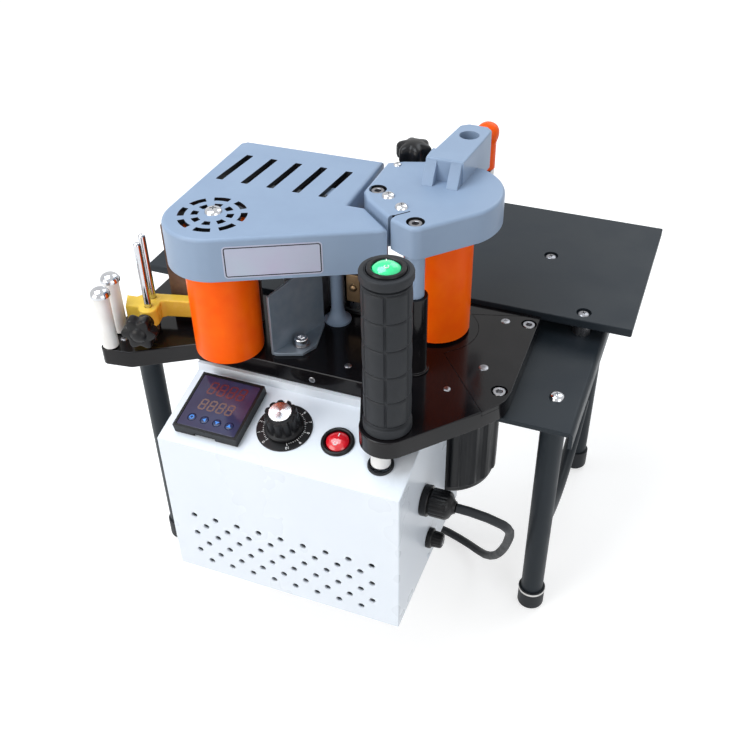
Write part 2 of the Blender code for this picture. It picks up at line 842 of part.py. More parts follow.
def rounded_top(obj, width, segments):
    """Rounds only the edges around the upper face."""
    bpy.context.view_layer.update()
    mesh = obj.data
    shape = bmesh.new()
    shape.from_mesh(mesh)
    top = max(vert.co.z for vert in shape.verts)
    edges = [
        edge
        for edge in shape.edges
        if all(abs(vert.co.z - top) < 1e-6 for vert in edge.verts) and edge.is_boundary is False
        and edge.calc_face_angle(0) > 0.5
    ]
    bmesh.ops.bevel(
        shape,
        geom=edges,
        offset=width * MM,
        segments=segments,
        profile=0.5,
        affect="EDGES",
        clamp_overlap=True,
    )
    shape.to_mesh(mesh)
    shape.free()
    return obj


def left_cover():
    low = LEFT_COVER_TOP - LEFT_SKIRT
    body = plate("left_cover", left_cover_outline(), low, LEFT_COVER_TOP, COVER_GREY)
    rounded_top(body, 2.6, 1)
    inside = offset(left_cover_outline(), -COVER_WALL)
    carve(body, tool_plate("left_cover_inside", inside, low - 2, LEFT_COVER_TOP - COVER_WALL))
    carve(body, left_cover_vents())
    dome = dome_profile(5.9, 2.6, 4.0, 1.0)
    carve(body, turned("dome", world(*LEFT_ROLLER, LEFT_COVER_TOP), dome, None, 12, CUTTERS), "UNION")
    return body


def dome_profile(radius, height, shank, length):
    """Round-headed screw, its head resting at height zero."""
    return [
        (0, height),
        (radius * 0.45, height * 0.92),
        (radius * 0.8, height * 0.62),
        (radius, 0),
        (shank, 0),
        (shank, -length),
        (0, -length),
    ]


DOME_SCREWS = (((-50.4, 117.3), 4.4), ((-37.4, 106.1), 4.4), ((-60.2, 161.3), 2.8))


def right_cover_outline():
    """Cover over the drive roller: its right side is an arc about the roller."""
    return [
        (-68.3, 163.5),
        (-68.3, 120.0),
        (-61.8, 109.8),
        (-38.4, 89.9),
        (-31.0, 86.0),
        *arc((-22.0, 91.0), 8.0, 250, 320, 3),
        *arc((-21.5, 140.0), 41.0, -36, 64, 6),
        (-9.7, 177.0),
        (-41.0, 175.0),
        (-58.0, 169.4),
    ]


ARM_LOW = 332.0
ARM_TOP = 359.0
ARM_HOLE = (-18.5, 189.0)
REAR_KNOB = (-57.5, 187.6)


def arm_outline():
    return [
        (-31.8, 148.0),
        (-8.2, 148.0),
        (-6.0, 202.0),
        (-10.0, 206.6),
        (-24.0, 207.4),
        (-29.4, 203.0),
    ]


def arm_ribs():
    """Two sloping ribs in front of the arm, each a triangle extruded along X."""
    ribs = []
    for low, high in ((-35.7, -28.0), (-18.8, -11.0)):
        profile = [
            (139.0 - CENTRE_Y, RIGHT_COVER_TOP - 1.5),
            (162.0 - CENTRE_Y, RIGHT_COVER_TOP - 1.5),
            (162.0 - CENTRE_Y, ARM_TOP - 0.1),
            (153.0 - CENTRE_Y, ARM_TOP - 0.1),
            (139.0 - CENTRE_Y, RIGHT_COVER_TOP + 0.3),
        ]
        ribs.append(profile_along_x("rib", profile, low, high))
    return ribs


def profile_along_x(name, ring, x_low, x_high):
    """A cutter or rib whose outline is in Y and Z of the world."""
    obj = outline_curve(name, [ring], x_low, x_high, CUTTERS)
    obj.rotation_euler = (math.radians(90), 0, math.radians(90))
    obj.location = ((x_low + x_high) / 2 * MM - CENTRE_X * MM, 0, 0)
    return finish(baked(obj), None, CUTTERS)


def right_cover():
    low = RIGHT_COVER_TOP - RIGHT_SKIRT
    body = plate("right_cover", right_cover_outline(), low, RIGHT_COVER_TOP, COVER_GREY)
    rounded_top(body, 2.6, 1)
    arm = rounded_top(tool_plate("arm_solid", arm_outline(), ARM_LOW, ARM_TOP), 1.4, 1)
    carve(body, arm, "UNION")
    for rib in arm_ribs():
        carve(body, rib, "UNION")
    lug = rounded([(-64.5, 164.0, 0), (-50.5, 166.0, 0), (-50.5, 195.0, 6), (-64.5, 195.0, 6)])
    carve(body, tool_plate("rear_lug", lug, low + 1.0, low + 8.0), "UNION")
    carve(body, tool_drum("roller_bay", RIGHT_ROLLER, 30.0, low - 2, RIGHT_COVER_TOP - 6.0, 16))
    slit = moved([(0, -0.5), (15.0, -0.5), (15.0, 0.5), (0, 0.5)], (-40.5, 91.6), math.radians(48))
    carve(body, tool_plate("clamp_slit", slit, RIGHT_COVER_TOP - 4, RIGHT_COVER_TOP + 4))
    drills = [
        tool_drum("drill", ARM_HOLE, 6.9, ARM_LOW - 4, ARM_TOP + 4, 14),
        tool_drum("drill", REAR_KNOB, 3.3, low - 4, low + 12, 12),
    ]
    for place in (POST_FRONT, POST_REAR):
        drills += cap_screw_cutters(place, RIGHT_COVER_TOP - 4.2, RIGHT_COVER_TOP, 5.0)
    carve(body, joined("right_cover_drills", drills, None, CUTTERS))
    for place, radius in DOME_SCREWS:
        dome = dome_profile(radius, radius * 0.5, radius * 0.6, 1.0)
        carve(body, turned("dome", world(*place, RIGHT_COVER_TOP), dome, None, 10, CUTTERS), "UNION")
    return body


def cover_posts():
    """Posts that carry the covers: two with a thick foot below the right cover, one column."""
    low = PLATE_TOP + GAP
    height = RIGHT_COVER_TOP - RIGHT_SKIRT - GAP - low
    for name, place in (("cover_post_front", POST_FRONT), ("cover_post_rear", POST_REAR)):
        profile = [
            (0, height - 14),
            (2.6, height - 14),
            (2.6, height),
            (6.5, height),
            (6.5, 60.0),
            (9.0, 60.0),
            (9.0, 1.2),
            (10.6, 1.2),
            (10.6, 0),
            (0, 0),
        ]
        turned(name, world(*place, low), profile, COVER_GREY, 14)
    height = LEFT_COVER_TOP - COVER_WALL - GAP - low
    column = [
        (0, height),
        (5.2, height),
        (4.4, height - 12),
        (4.4, 14.0),
        (6.0, 6.0),
        (10.0, 1.6),
        (10.0, 0),
        (0, 0),
    ]
    turned("cover_column", world(*LEFT_COVER_POST, low), column, COVER_GREY, 14)


# ---------------------------------------------------------------- arm lever and rear knob


HANDLE = (-15.0, 222.0)


def rear_lever():
    """Steel link on a pin that turns in the arm's hole, with an orange upright grip at its end."""
    bar = rounded([(-8, -8, 7), (41, -6, 5), (41, 6, 5), (-8, 8, 7)])
    link_ring = moved(bar, ARM_HOLE, math.radians(84))
    link = plate("rear_lever", link_ring, 314.0, 320.6, STEEL, about=ARM_HOLE)
    pin = [(0, 31.0), (5.4, 31.0), (6.2, 30.0), (6.2, 0), (0, 0)]
    carve(link, turned("lever_pin", world(*ARM_HOLE, 320.0), pin, None, 16, CUTTERS), "UNION")
    profile = [
        (0, 40.0),
        (3.0, 39.6),
        (5.6, 38.0),
        (7.6, 35.4),
        (8.0, 32.0),
        (7.6, 29.0),
        (6.0, 26.6),
        (5.4, 24.0),
        (5.4, 0),
        (0, 0),
    ]
    turned("lever_grip", world(*HANDLE, 320.9), profile, ORANGE, 16)


def rear_knob():
    """Star knob on a screw that stands in the lug behind the right cover."""
    outline = moved(star_ring(13.0, 6, 3.4), REAR_KNOB)
    star = plate("rear_star_knob", outline, 335.0, 343.0, BLACK_PLASTIC, about=REAR_KNOB)
    profile = [
        (0, 37.0),
        (4.4, 36.6),
        (6.6, 34.6),
        (7.0, 30.0),
        (7.0, 21.0),
        (3.0, 21.0),
        (3.0, 0),
        (0, 0),
    ]
    carve(star, turned("rear_stem", world(*REAR_KNOB, 310.0), profile, None, 16, CUTTERS), "UNION")


# ---------------------------------------------------------------- grip and its switch


def grip():
    """Hollow handgrip with a round rocker switch in its top."""
    low = PLATE_TOP + GAP
    height = GRIP_TOP - low
    r = GRIP_RADIUS
    sleeve = [
        (12.4, height),
        (r + 0.7, height),
        (r + 1.3, height - 1.2),
        (r + 1.3, height - 5.8),
        (r - 1.0, height - 6.6),
        (r - 1.0, height - 8.8),
        (r, height - 9.4),
        (r, 8.0),
        (r - 1.0, 7.2),
        (r + 0.8, 6.0),
        (r + 0.8, 0),
        (5.0, 0),
        (5.0, 12.0),
        (10.6, 16.0),
        (10.6, height - 8.0),
        (12.4, height - 4.0),
    ]
    turned("grip_sleeve", world(*GRIP, low), sleeve, BLACK_RUBBER, 20)
    bezel = [
        (9.2, 1.6),
        (11.7, 1.6),
        (11.9, 0.2),
        (11.9, -3.0),
        (10.3, -6.0),
        (10.3, -17.0),
        (0, -17.0),
        (0, -15.0),
        (8.8, -15.0),
        (8.8, 1.2),
    ]
    turned("grip_switch_bezel", world(*GRIP, GRIP_TOP), bezel, BLACK_PLASTIC, 20)
    profile = [(0, 4.0), (3.4, 3.8), (6.2, 3.0), (8.0, 1.4), (8.4, 0.4), (8.0, -4.0), (0, -4.0)]
    turned("grip_switch_rocker", world(*GRIP, GRIP_TOP - 0.2), profile, GREEN, 16)


def wire_bush():
    """White bush that leads the switch wires from the box up into the grip."""
    height = BRACKET_TOP - 202.0
    profile = [(6.6, height), (6.6, 0), (4.0, 0), (4.0, height)]
    turned("wire_bush", world(*WIRE_BUSH, 202.0), profile, WHITE_PLASTIC, 20)


# ---------------------------------------------------------------- control box


def box_profile(inset):
    """Side view of the control box as Y and height above the floor."""
    w = inset
    slope_tan = math.tan(SLOPE_ANGLE)
    lift = w / math.cos(SLOPE_ANGLE)
    return [
        (w, BOX_FLOOR + BOX_FRONT - lift + w * slope_tan),
        (BOX_SLOPE_Y + w, BOX_FLOOR + BOX_FRONT + BOX_RISE - lift + w * slope_tan),
        (BOX_SLOPE_Y + w, BOX_FLOOR + BOX_TOP - w),
    ]


def control_box():
    """Bent sheet shell: front, sloped panel, top and stepped sides, open behind and below."""
    top = BOX_FLOOR + BOX_TOP
    ledge = BOX_FLOOR + BOX_LEDGE
    outer = [
        (0, BOX_FLOOR),
        *box_profile(0.0),
        (BOX_NOTCH_Y, top),
        (BOX_NOTCH_Y, ledge),
        (BOX_DEPTH, ledge),
        (BOX_DEPTH, BOX_FLOOR),
    ]
    shell = profile_solid("control_box", outer, -BOX_WIDTH, 0.0, WHITE_PAINT, PARTS)
    w = BOX_WALL
    inner = [(w, BOX_FLOOR - 5), *box_profile(w), (BOX_DEPTH + 20, top - w), (BOX_DEPTH + 20, BOX_FLOOR - 5)]
    carve(shell, profile_solid("control_box_inside", inner, -BOX_WIDTH + w, -w, None, CUTTERS))
    carve(shell, front_vents())
    carve(shell, panel_openings())
    carve(shell, side_openings())
    return shell


def profile_solid(name, ring, x_low, x_high, look, collection):
    """An outline in machine Y and Z, extruded along X."""
    shifted = [(y - CENTRE_Y, z) for y, z in ring]
    obj = outline_curve(name, [shifted], x_low, x_high, collection)
    obj.rotation_euler = (math.radians(90), 0, math.radians(90))
    obj.location = (((x_low + x_high) / 2 - CENTRE_X) * MM, 0, 0)
    return finish(baked(obj), look, collection)


def front_vents():
    """Six staggered rows of nine and eight round holes."""
    tools = []
    for row in range(6):
        count = 9 - row % 2
        for i in range(count):
            x = -157.5 + 17.2 * i + 8.6 * (row % 2)
            z = BOX_FLOOR + 57.6 - 9.2 * row
            hole = tool_drum("vent", (x, -3.0), 2.4, 0, 8, 6)
            hole.rotation_euler = (math.radians(-90), 0, 0)
            hole.location = world(x, -3.0, z)
            tools.append(hole)
    return joined("front_vents", tools, None, CUTTERS)


def panel_frame():
    """Empty at the panel's lower left corner: X right, Y up the slope, Z out of the panel."""
    frame = bpy.data.objects.new("panel_frame", None)
    bpy.data.collections[CUTTERS].objects.link(frame)
    frame.location = world(-BOX_WIDTH, 0, BOX_FLOOR + BOX_FRONT)
    frame.rotation_euler = (SLOPE_ANGLE, 0, 0)
    bpy.context.view_layer.update()
    return frame


def on_panel(obj, u, v, w):
    """Stands an object on the sloped panel."""
    obj.parent = bpy.data.objects["panel_frame"]
    obj.location = Vector((u, v, w)) * MM
    return obj


DISPLAY = (10.1, 8.7)
DISPLAY_SIDE = 48.0
DIAL = (82.6, 32.6)
RED_SWITCH = (122.0, 32.0)
BUSH_HOLE = (155.9, 23.4)
KEY_OFFSETS = (10.2, 19.9, 29.4, 38.8)
KEY_LINE = 9.6


def panel_openings():
    middle = (DISPLAY[0] + DISPLAY_SIDE / 2, DISPLAY[1] + DISPLAY_SIDE / 2)
    cut = box("cut", (0, 0, 0), (45.2, 45.2, 12), None, CUTTERS)
    tools = [on_panel(cut, middle[0], middle[1], 0)]
    for (u, v), radius in ((DIAL, 3.8), (RED_SWITCH, 10.2), (BUSH_HOLE, 8.0)):
        tools.append(on_panel(drum("cut", (0, 0), radius, 0, 12, None, 20, CUTTERS), u, v, -6))
    bpy.context.view_layer.update()
    return joined("panel_openings", tools, None, CUTTERS)


def side_openings():
    """Holes in the right side for the cord gland and the fuse holder, and for the side screws."""
    tools = []
    for (y, z), radius in ((GLAND[1:], 7.6), (FUSE, 6.0)):
        hole = drum("cut", (0, 0), radius, 0, 12, None, 20, CUTTERS)
        hole.rotation_euler = (0, math.radians(90), 0)
        hole.location = world(-6.0, y, z)
        tools.append(hole)
    return joined("side_openings", tools, None, CUTTERS)


def box_rear_panel():
    """Bent sheet that closes the box behind and below."""
    top = BOX_FLOOR + BOX_TOP - BOX_WALL - GAP
    ledge = BOX_FLOOR + BOX_LEDGE
    t = 1.2
    front = BOX_WALL + GAP
    ring = [
        (BOX_NOTCH_Y - t, top),
        (BOX_NOTCH_Y, top),
        (BOX_NOTCH_Y, ledge),
        (BOX_DEPTH, ledge),
        (BOX_DEPTH, BOX_FLOOR),
        (front, BOX_FLOOR),
        (front, BOX_FLOOR + t),
        (BOX_DEPTH - t, BOX_FLOOR + t),
        (BOX_DEPTH - t, ledge - t),
        (BOX_NOTCH_Y - t, ledge - t),
    ]
    side = BOX_WALL + GAP
    profile_solid("box_rear_panel", ring, -BOX_WIDTH + side, -side, WHITE_PAINT, PARTS)


def temperature_controller():
    """Square controller with a sunk display face and four keys."""
    middle = (DISPLAY[0] + DISPLAY_SIDE / 2, DISPLAY[1] + DISPLAY_SIDE / 2)
    body = box("controller_body", (-24, -24, GAP), (24, 24, 8.1), BLACK_PLASTIC)
    on_panel(body, *middle, (8.1 + GAP) / 2)
    case = on_panel(box("controller_case", (-22.2, -22.2, -46), (22.2, 22.2, 2), None, CUTTERS), *middle, -22)
    carve(body, case, "UNION")
    recess = on_panel(box("face_recess", (-22.2, -22.2, 0), (22.2, 22.2, 5), None, CUTTERS), *middle, 9.3)
    carve(body, recess)
    notch = on_panel(box("front_notch", (0, 0, 0), (16, 4, 4.4), None, CUTTERS), 33.2, DISPLAY[1], 1.0)
    carve(body, notch)
    wells = []
    for i, offset in enumerate(KEY_OFFSETS):
        place = (DISPLAY[0] + offset, DISPLAY[1] + KEY_LINE)
        wells.append(on_panel(drum("key_well", (0, 0), 3.3, 0, 6, None, 12, CUTTERS), *place, 3.6))
        key = drum(f"controller_key_{i + 1}", (0, 0), 2.9, 0, 3.4, BLUE_KEY, 12)
        on_panel(key, *place, 4.8)
    bpy.context.view_layer.update()
    carve(body, joined("key_wells", wells, None, CUTTERS))


def speed_knob():
    """Fluted knob and its shaft, over a panel potentiometer with a round dial plate."""
    flutes = []
    count = 14
    for i in range(count):
        for radius, share in ((11.5, -0.28), (11.5, 0.28), (10.6, 0.5)):
            angle = 2 * math.pi * (i + share) / count
            flutes.append((radius * math.cos(angle), radius * math.sin(angle)))
    knob = outline_curve("speed_knob", [flutes], 0.0, 16.0, PARTS)
    knob = finish(baked(knob), BLACK_PLASTIC)
    on_panel(knob, *DIAL, 1.6 + 8.0)
    spindle = [(0, 18.4), (7.0, 18.4), (7.8, 17.6), (7.8, 15.0), (2.9, 15.0), (2.9, -2.0), (0, -2.0)]
    carve(knob, on_panel(turned("spindle", (0, 0, 0), spindle, None, 16, CUTTERS), *DIAL, 1.0), "UNION")
    skirt = turned("knob_skirt", (0, 0, 0), [(0, 2.4), (13.6, 2.4), (13.6, 0), (0, 0)], None, 20, CUTTERS)
    carve(knob, on_panel(skirt, *DIAL, 1.5), "UNION")
    control = [
        (19.5, 0.9),
        (19.5, 0),
        (3.5, 0),
        (3.5, -2.6),
        (8.5, -2.6),
        (8.5, -12.0),
        (0, -12.0),
        (0, -6.0),
        (3.2, -6.0),
        (3.2, 0.9),
    ]
    on_panel(turned("speed_control", (0, 0, 0), control, BLACK_PLASTIC, 24), *DIAL, GAP)


def red_switch():
    """Round rocker switch with its bezel and body in one piece."""
    bezel = [
        (11.2, 2.0),
        (11.6, 0),
        (9.9, 0),
        (9.9, -18.0),
        (0, -18.0),
        (0, -14.0),
        (8.6, -14.0),
        (8.6, 1.6),
        (9.0, 2.0),
    ]
    switch = turned("power_switch_bezel", (0, 0, 0), bezel, BLACK_PLASTIC, 20)
    on_panel(switch, *RED_SWITCH, GAP)
    lens = [(0, 3.2), (5.4, 2.9), (7.8, 1.9), (7.9, 1.2), (7.7, -3.4), (0, -3.4)]
    rocker = turned("power_switch_rocker", (0, 0, 0), lens, RED, 16)
    on_panel(rocker, *RED_SWITCH, 0.9)


def on_side(obj, y, z):
    """Turns an upright shape so that it points out of the box's right side."""
    obj.rotation_euler = (0, math.radians(90), 0)
    obj.location = world(0, y, z)
    return obj


def fuse_holder():
    """Panel fuse holder with its screwed cap."""
    profile = [
        (0, 12.0),
        (3.6, 12.0),
        (5.6, 11.0),
        (6.2, 4.2),
        (7.8, 3.4),
        (7.8, GAP),
        (5.7, GAP),
        (5.7, -26.0),
        (0, -26.0),
    ]
    on_side(turned("fuse_holder", (0, 0, 0), profile, BLACK_PLASTIC, 16), *FUSE)


def cable_gland():
    """Gland screwed in the side wall, with its clamping nut, tapered relief and locknut."""
    hole = CORD_DIAMETER / 2 + GAP
    profile = [
        (hole, 24.0),
        (5.6, 24.0),
        (6.4, 22.6),
        (9.6, 19.0),
        (10.2, 18.0),
        (10.2, 6.4),
        (8.6, 5.6),
        (11.4, 5.2),
        (11.4, GAP),
        (7.3, GAP),
        (7.3, -BOX_WALL - GAP),
        (10.5, -BOX_WALL - GAP),
        (10.5, -5.6),
        (7.3, -5.6),
        (7.3, -9.0),
        (hole, -9.0),
    ]
    on_side(turned("cable_gland", (0, 0, 0), profile, BLACK_PLASTIC, 16), *GLAND[1:])


# ---------------------------------------------------------------- stand and tables


def right_bracket():
    """Sheet plate with a downturned right edge, under the base plate and the right table."""
    t = BRACKET_TOP - BRACKET_LOW
    ring = [(30.5, 77.0), (89.0, 77.0), (89.0, 300.0), (20.0, 300.0), (20.0, 188.0), (30.5, 188.0)]
    holes = [circle(place, 3.3, 12) for place in WING_SOCKET_SCREWS]
    body = plate("right_bracket", ring, BRACKET_LOW, BRACKET_TOP, BLACK_PAINT, holes)
    carve(body, bracket_flange(88.5, 1.0, 77.0, 300.0, t), "UNION")
    for place in RIGHT_TABLE_SCREWS:
        carve(body, standoff(place), "UNION")
        carve(body, tool_drum("tapped_hole", place, 2.5, BRACKET_LOW - 2, TABLE_TOP, 8))
    for place in (LEGS["front_right"], LEGS["rear_right"]):
        carve(body, bolt_head(place, BRACKET_TOP), "UNION")
    return body


def standoff(place):
    """Bush pressed in a bracket, which the table rests on."""
    low, high = BRACKET_LOW + 0.5, TABLE_TOP - TABLE_THICK - GAP
    return tool_drum("standoff", place, 6.5, low, high, 12)


def bracket_flange(x, sign, y_low, y_high, thick):
    """Rounded bend and the flange below it, as one profile extruded along Y."""
    high, low = BRACKET_TOP, BRACKET_TOP - 13.5
    outer = arc((0, high - 4.0), 4.0, 90, 0, 3)
    inner = arc((0, high - 4.0), 4.0 - thick + 1.4, 0, 90, 3)
    ring = [*outer, (4.0, low), (1.4, low), *inner]
    ring = [(x - CENTRE_X + sign * px, z) for px, z in ring]
    obj = outline_curve("flange", [ring], y_low, y_high, CUTTERS)
    obj.rotation_euler = (math.radians(90), 0, 0)
    obj.location = (0, ((y_low + y_high) / 2 - CENTRE_Y) * MM, 0)
    return finish(baked(obj), None, CUTTERS)


def left_bracket():
    ring = [
        (-250.0, 143.0),
        (-176.0, 143.0),
        (-176.0, 124.0),
        (-122.0, 124.0),
        (-122.0, 176.0),
        (-176.0, 176.0),
        (-176.0, 300.0),
        (-250.0, 300.0),
    ]
    holes = [circle(place, 3.3, 12) for place in ((-166.0, 132.0), (-132.0, 132.0))]
    body = plate("left_bracket", ring, BRACKET_LOW, BRACKET_TOP, BLACK_PAINT, holes)
    for place in LEFT_TABLE_SCREWS:
        carve(body, standoff(place), "UNION")
        carve(body, tool_drum("tapped_hole", place, 2.5, BRACKET_LOW - 2, TABLE_TOP, 8))
    carve(body, bolt_head(LEGS["rear_left"], BRACKET_TOP), "UNION")
    return body


def tables():
    """Two table leaves, each with its screw heads sunk in round recesses."""
    low = TABLE_TOP - TABLE_THICK
    for name, (left, front, right), screws in (
        ("right_table", RIGHT_TABLE, RIGHT_TABLE_SCREWS),
        ("left_table", LEFT_TABLE, LEFT_TABLE_SCREWS),
    ):
        ring = [(left, front), (right, front), (right, TABLE_REAR), (left, TABLE_REAR)]
        table = plate(name, ring, low, TABLE_TOP, SLATE_PAINT)
        recesses = []
        for place in screws:
            profile = [
                (5.6, 2.0),
                (5.6, -2.6),
                (4.4, -2.6),
                (3.4, -0.8),
                (1.6, -0.2),
                (0, -0.1),
                (0, 2.0),
            ]
            recesses.append(turned("recess", world(*place, TABLE_TOP), profile[::-1], None, 10, CUTTERS))
        carve(table, joined(f"{name}_recesses", recesses, None, CUTTERS))


def bolt_head(place, seat):
    """Round head of a leg's bolt, standing on the plate it clamps."""
    return turned("bolt", world(*place, seat), dome_profile(5.4, 3.0, 3.6, 1.0), None, 10, CUTTERS)


def leg(name, place, top, collection):
    """Tube with a closed top that takes its bolt."""
    height = top - 3.0
    inner = LEG_RADIUS - 1.5
    profile = [
        (2.9, height),
        (LEG_RADIUS, height),
        (LEG_RADIUS, 0),
        (inner, 0),
        (inner, height - 4),
        (2.9, height - 4),
    ]
    return turned(name, world(*place, 3.0), profile, SLATE_PAINT, 12, collection)


def leg_frames():
    """Front and rear leg of each side, welded to the bowed tube between them."""
    for side in ("right", "left"):
        front, rear = LEGS[f"front_{side}"], LEGS[f"rear_{side}"]
        front_top = LEG_TOP if side == "right" else PLATE_LOW - GAP
        frame = leg(f"leg_frame_{side}", front, front_top, PARTS)
        carve(frame, leg("leg", rear, LEG_TOP, CUTTERS), "UNION")
        start, end = front[1] + LEG_RADIUS - 1.0, rear[1] - LEG_RADIUS + 1.0
        points = []
        for i in range(11):
            share = i / 10
            sag = 24.0 * (1 - (2 * share - 1) ** 2)
            points.append((front[0], start + (end - start) * share, 84.0 - sag))
        stretcher = baked(tube("stretcher", points, 5.6, None, 1, CUTTERS))
        carve(frame, stretcher, "UNION")


def feet():
    r = FOOT_RADIUS
    for side, place in LEGS.items():
        profile = [
            (r, FOOT_HEIGHT),
            (r, 3.0),
            (r - 2.4, 0),
            (0, 0),
            (0, 2.7),
            (LEG_RADIUS + GAP, 2.7),
            (LEG_RADIUS + GAP, FOOT_HEIGHT),
        ]
        turned(f"foot_{side}", world(*place, 0.0), profile, BLACK_RUBBER, 12)


# ---------------------------------------------------------------- power lead


CORD_ROUTE = (
    (24.6, 49.0, 150.4),
    (34.0, 49.2, 150.0),
    (46.0, 51.5, 146.0),
    (56.0, 58.0, 136.0),
    (59.0, 70.0, 118.0),
    (56.0, 84.0, 94.0),
    (50.0, 99.0, 66.0),
    (41.0, 115.0, 38.0),
    (29.0, 131.0, 17.0),
    (12.0, 146.0, 6.6),
    (-10.0, 156.0, 3.7),
    (-34.0, 160.0, 3.5),
    (-60.0, 160.7, 3.5),
    (-82.0, 160.7, 3.5),
)
COIL_OUTER_TURN = COIL_MID_RADIUS + CORD_DIAMETER
COIL_LIFT = 0.1
TURN_HEIGHTS = [COIL_LIFT + CORD_DIAMETER * (layer + 0.5) for layer in range(3)]
PLUG = (-176.0, COIL[1] - COIL_OUTER_TURN)
PLUG_NOSE = 38.0
PLUG_AXIS = 12.5


def smooth(route, spacing):
    """Points along a Catmull-Rom curve through the route."""
    spots = [Vector(point) for point in route]
    spots = [2 * spots[0] - spots[1], *spots, 2 * spots[-1] - spots[-2]]
    points = [route[0]]
    for i in range(1, len(spots) - 2):
        a, b, c, d = spots[i - 1 : i + 3]
        count = max(1, round((c - b).length / spacing))
        for k in range(1, count + 1):
            t = k / count
            square = (2 * a - 5 * b + 4 * c - d) * t**2
            cube = (3 * b - a - 3 * c + d) * t**3
            points.append(tuple(0.5 * (2 * b + (c - a) * t + square + cube)))
    return points


def coil_point(degrees, height):
    """A point on the coil's outer turn, with its angle from +X."""
    turn = math.radians(degrees)
    x = COIL[0] + COIL_OUTER_TURN * math.cos(turn)
    return (x, COIL[1] + COIL_OUTER_TURN * math.sin(turn), height)


def cord_coil():
    """Ring of six turns, with the end that comes in and the end that rises and goes out."""
    half = 1.5 * CORD_DIAMETER + 0.2
    height = 2 * CORD_DIAMETER
    ring = [
        (COIL_MID_RADIUS + half, height),
        (COIL_MID_RADIUS + half, 0),
        (COIL_MID_RADIUS - half, 0),
        (COIL_MID_RADIUS - half, height),
    ]
    coil = turned("power_cord_coil", world(*COIL, COIL_LIFT), ring, BLACK_RUBBER, 28)
    low, middle, high = TURN_HEIGHTS
    radius = CORD_DIAMETER / 2
    y = PLUG[1]
    incoming = [(COIL[0] + 6.0, y, low), (CORD_ROUTE[-1][0] - GAP, y, low)]
    carve(coil, baked(tube("cord_in", incoming, radius, None, 2, CUTTERS)), "UNION")
    rise = []
    for i in range(8):
        share = i / 7
        eased = share * share * (3 - 2 * share)
        rise.append(coil_point(-12.0 - 78.0 * share, middle + (high - middle) * eased))
    end = PLUG[0] + PLUG_NOSE + GAP
    rise += [(COIL[0] - 10.0, y, high - 0.8), (end + 6.0, y, PLUG_AXIS), (end, y, PLUG_AXIS)]
    carve(coil, baked(tube("cord_out", rise, radius, None, 2, CUTTERS)), "UNION")


def power_plug():
    """Two-pin plug that lies on the floor beside the coil, with its tapered nose on the lead."""
    ring = rounded([(-19, -18, 6), (13, -22, 6), (19, -14, 4), (19, 14, 4), (13, 22, 6), (-19, 18, 6)])
    body = plate("power_plug", moved(ring, PLUG), COIL_LIFT, 25.0, BLACK_RUBBER, about=PLUG)
    pins = []
    for dy in (-9.5, 9.5):
        pin = tool_drum("pin", (0, 0), 2.4, 0, 21, 12)
        pin.rotation_euler = (0, math.radians(-90), 0)
        pin.location = world(PLUG[0] - 17.0, PLUG[1] + dy, PLUG_AXIS)
        pins.append(pin)
    bpy.context.view_layer.update()
    carve(body, joined("plug_pins", pins, None, CUTTERS), "UNION")
    profile = [(0, PLUG_NOSE), (4.4, PLUG_NOSE), (7.0, 17.0), (0, 17.0)]
    nose = turned("plug_nose", (0, 0, 0), profile, None, 12, CUTTERS)
    nose.rotation_euler = (0, math.radians(90), 0)
    nose.location = world(*PLUG, PLUG_AXIS)
    carve(body, nose, "UNION")


def power_lead():
    """Lead from the gland to the floor, its stored coil and its plug."""
    points = smooth(CORD_ROUTE, 2.2 * CORD_DIAMETER)
    tube("power_cord", points, CORD_DIAMETER / 2, BLACK_RUBBER, 2)
    cord_coil()
    power_plug()


def build():
    clear_scene()
    base_plate()
    wing_plate()
    gear_cover()
    gear_train()
    roller("left", LEFT_ROLLER)
    roller("right", RIGHT_ROLLER)
    left_roller_axle()
    motor()
    glue_pot()
    heater()
    tape_guide_plate()
    tape_board()
    tape_rods()
    tape_guide_block()
    guide_clamp_knob()
    tape_rollers()
    left_cover()
    right_cover()
    cover_posts()
    rear_lever()
    rear_knob()
    grip()
    wire_bush()
    panel_frame()
    control_box()
    box_rear_panel()
    temperature_controller()
    speed_knob()
    red_switch()
    fuse_holder()
    cable_gland()
    right_bracket()
    left_bracket()
    tables()
    leg_frames()
    feet()
    power_lead()


build()
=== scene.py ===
# %% [markdown]
# # A small edge banding machine, piece by piece
# The machine glues a thin tape on the edge of a board. Two orange rollers feed the tape and the
# board, a pot holds the glue, two painted covers keep fingers out, and the box below holds the
# controls. The measured frame is loaded first, because each later piece takes its place from it.
# The empty scene comes before it, so that nothing of Blender's start-up scene is left.

# %% Load the measured frame
import json
import math

import bmesh
import bpy
from mathutils import Matrix, Vector

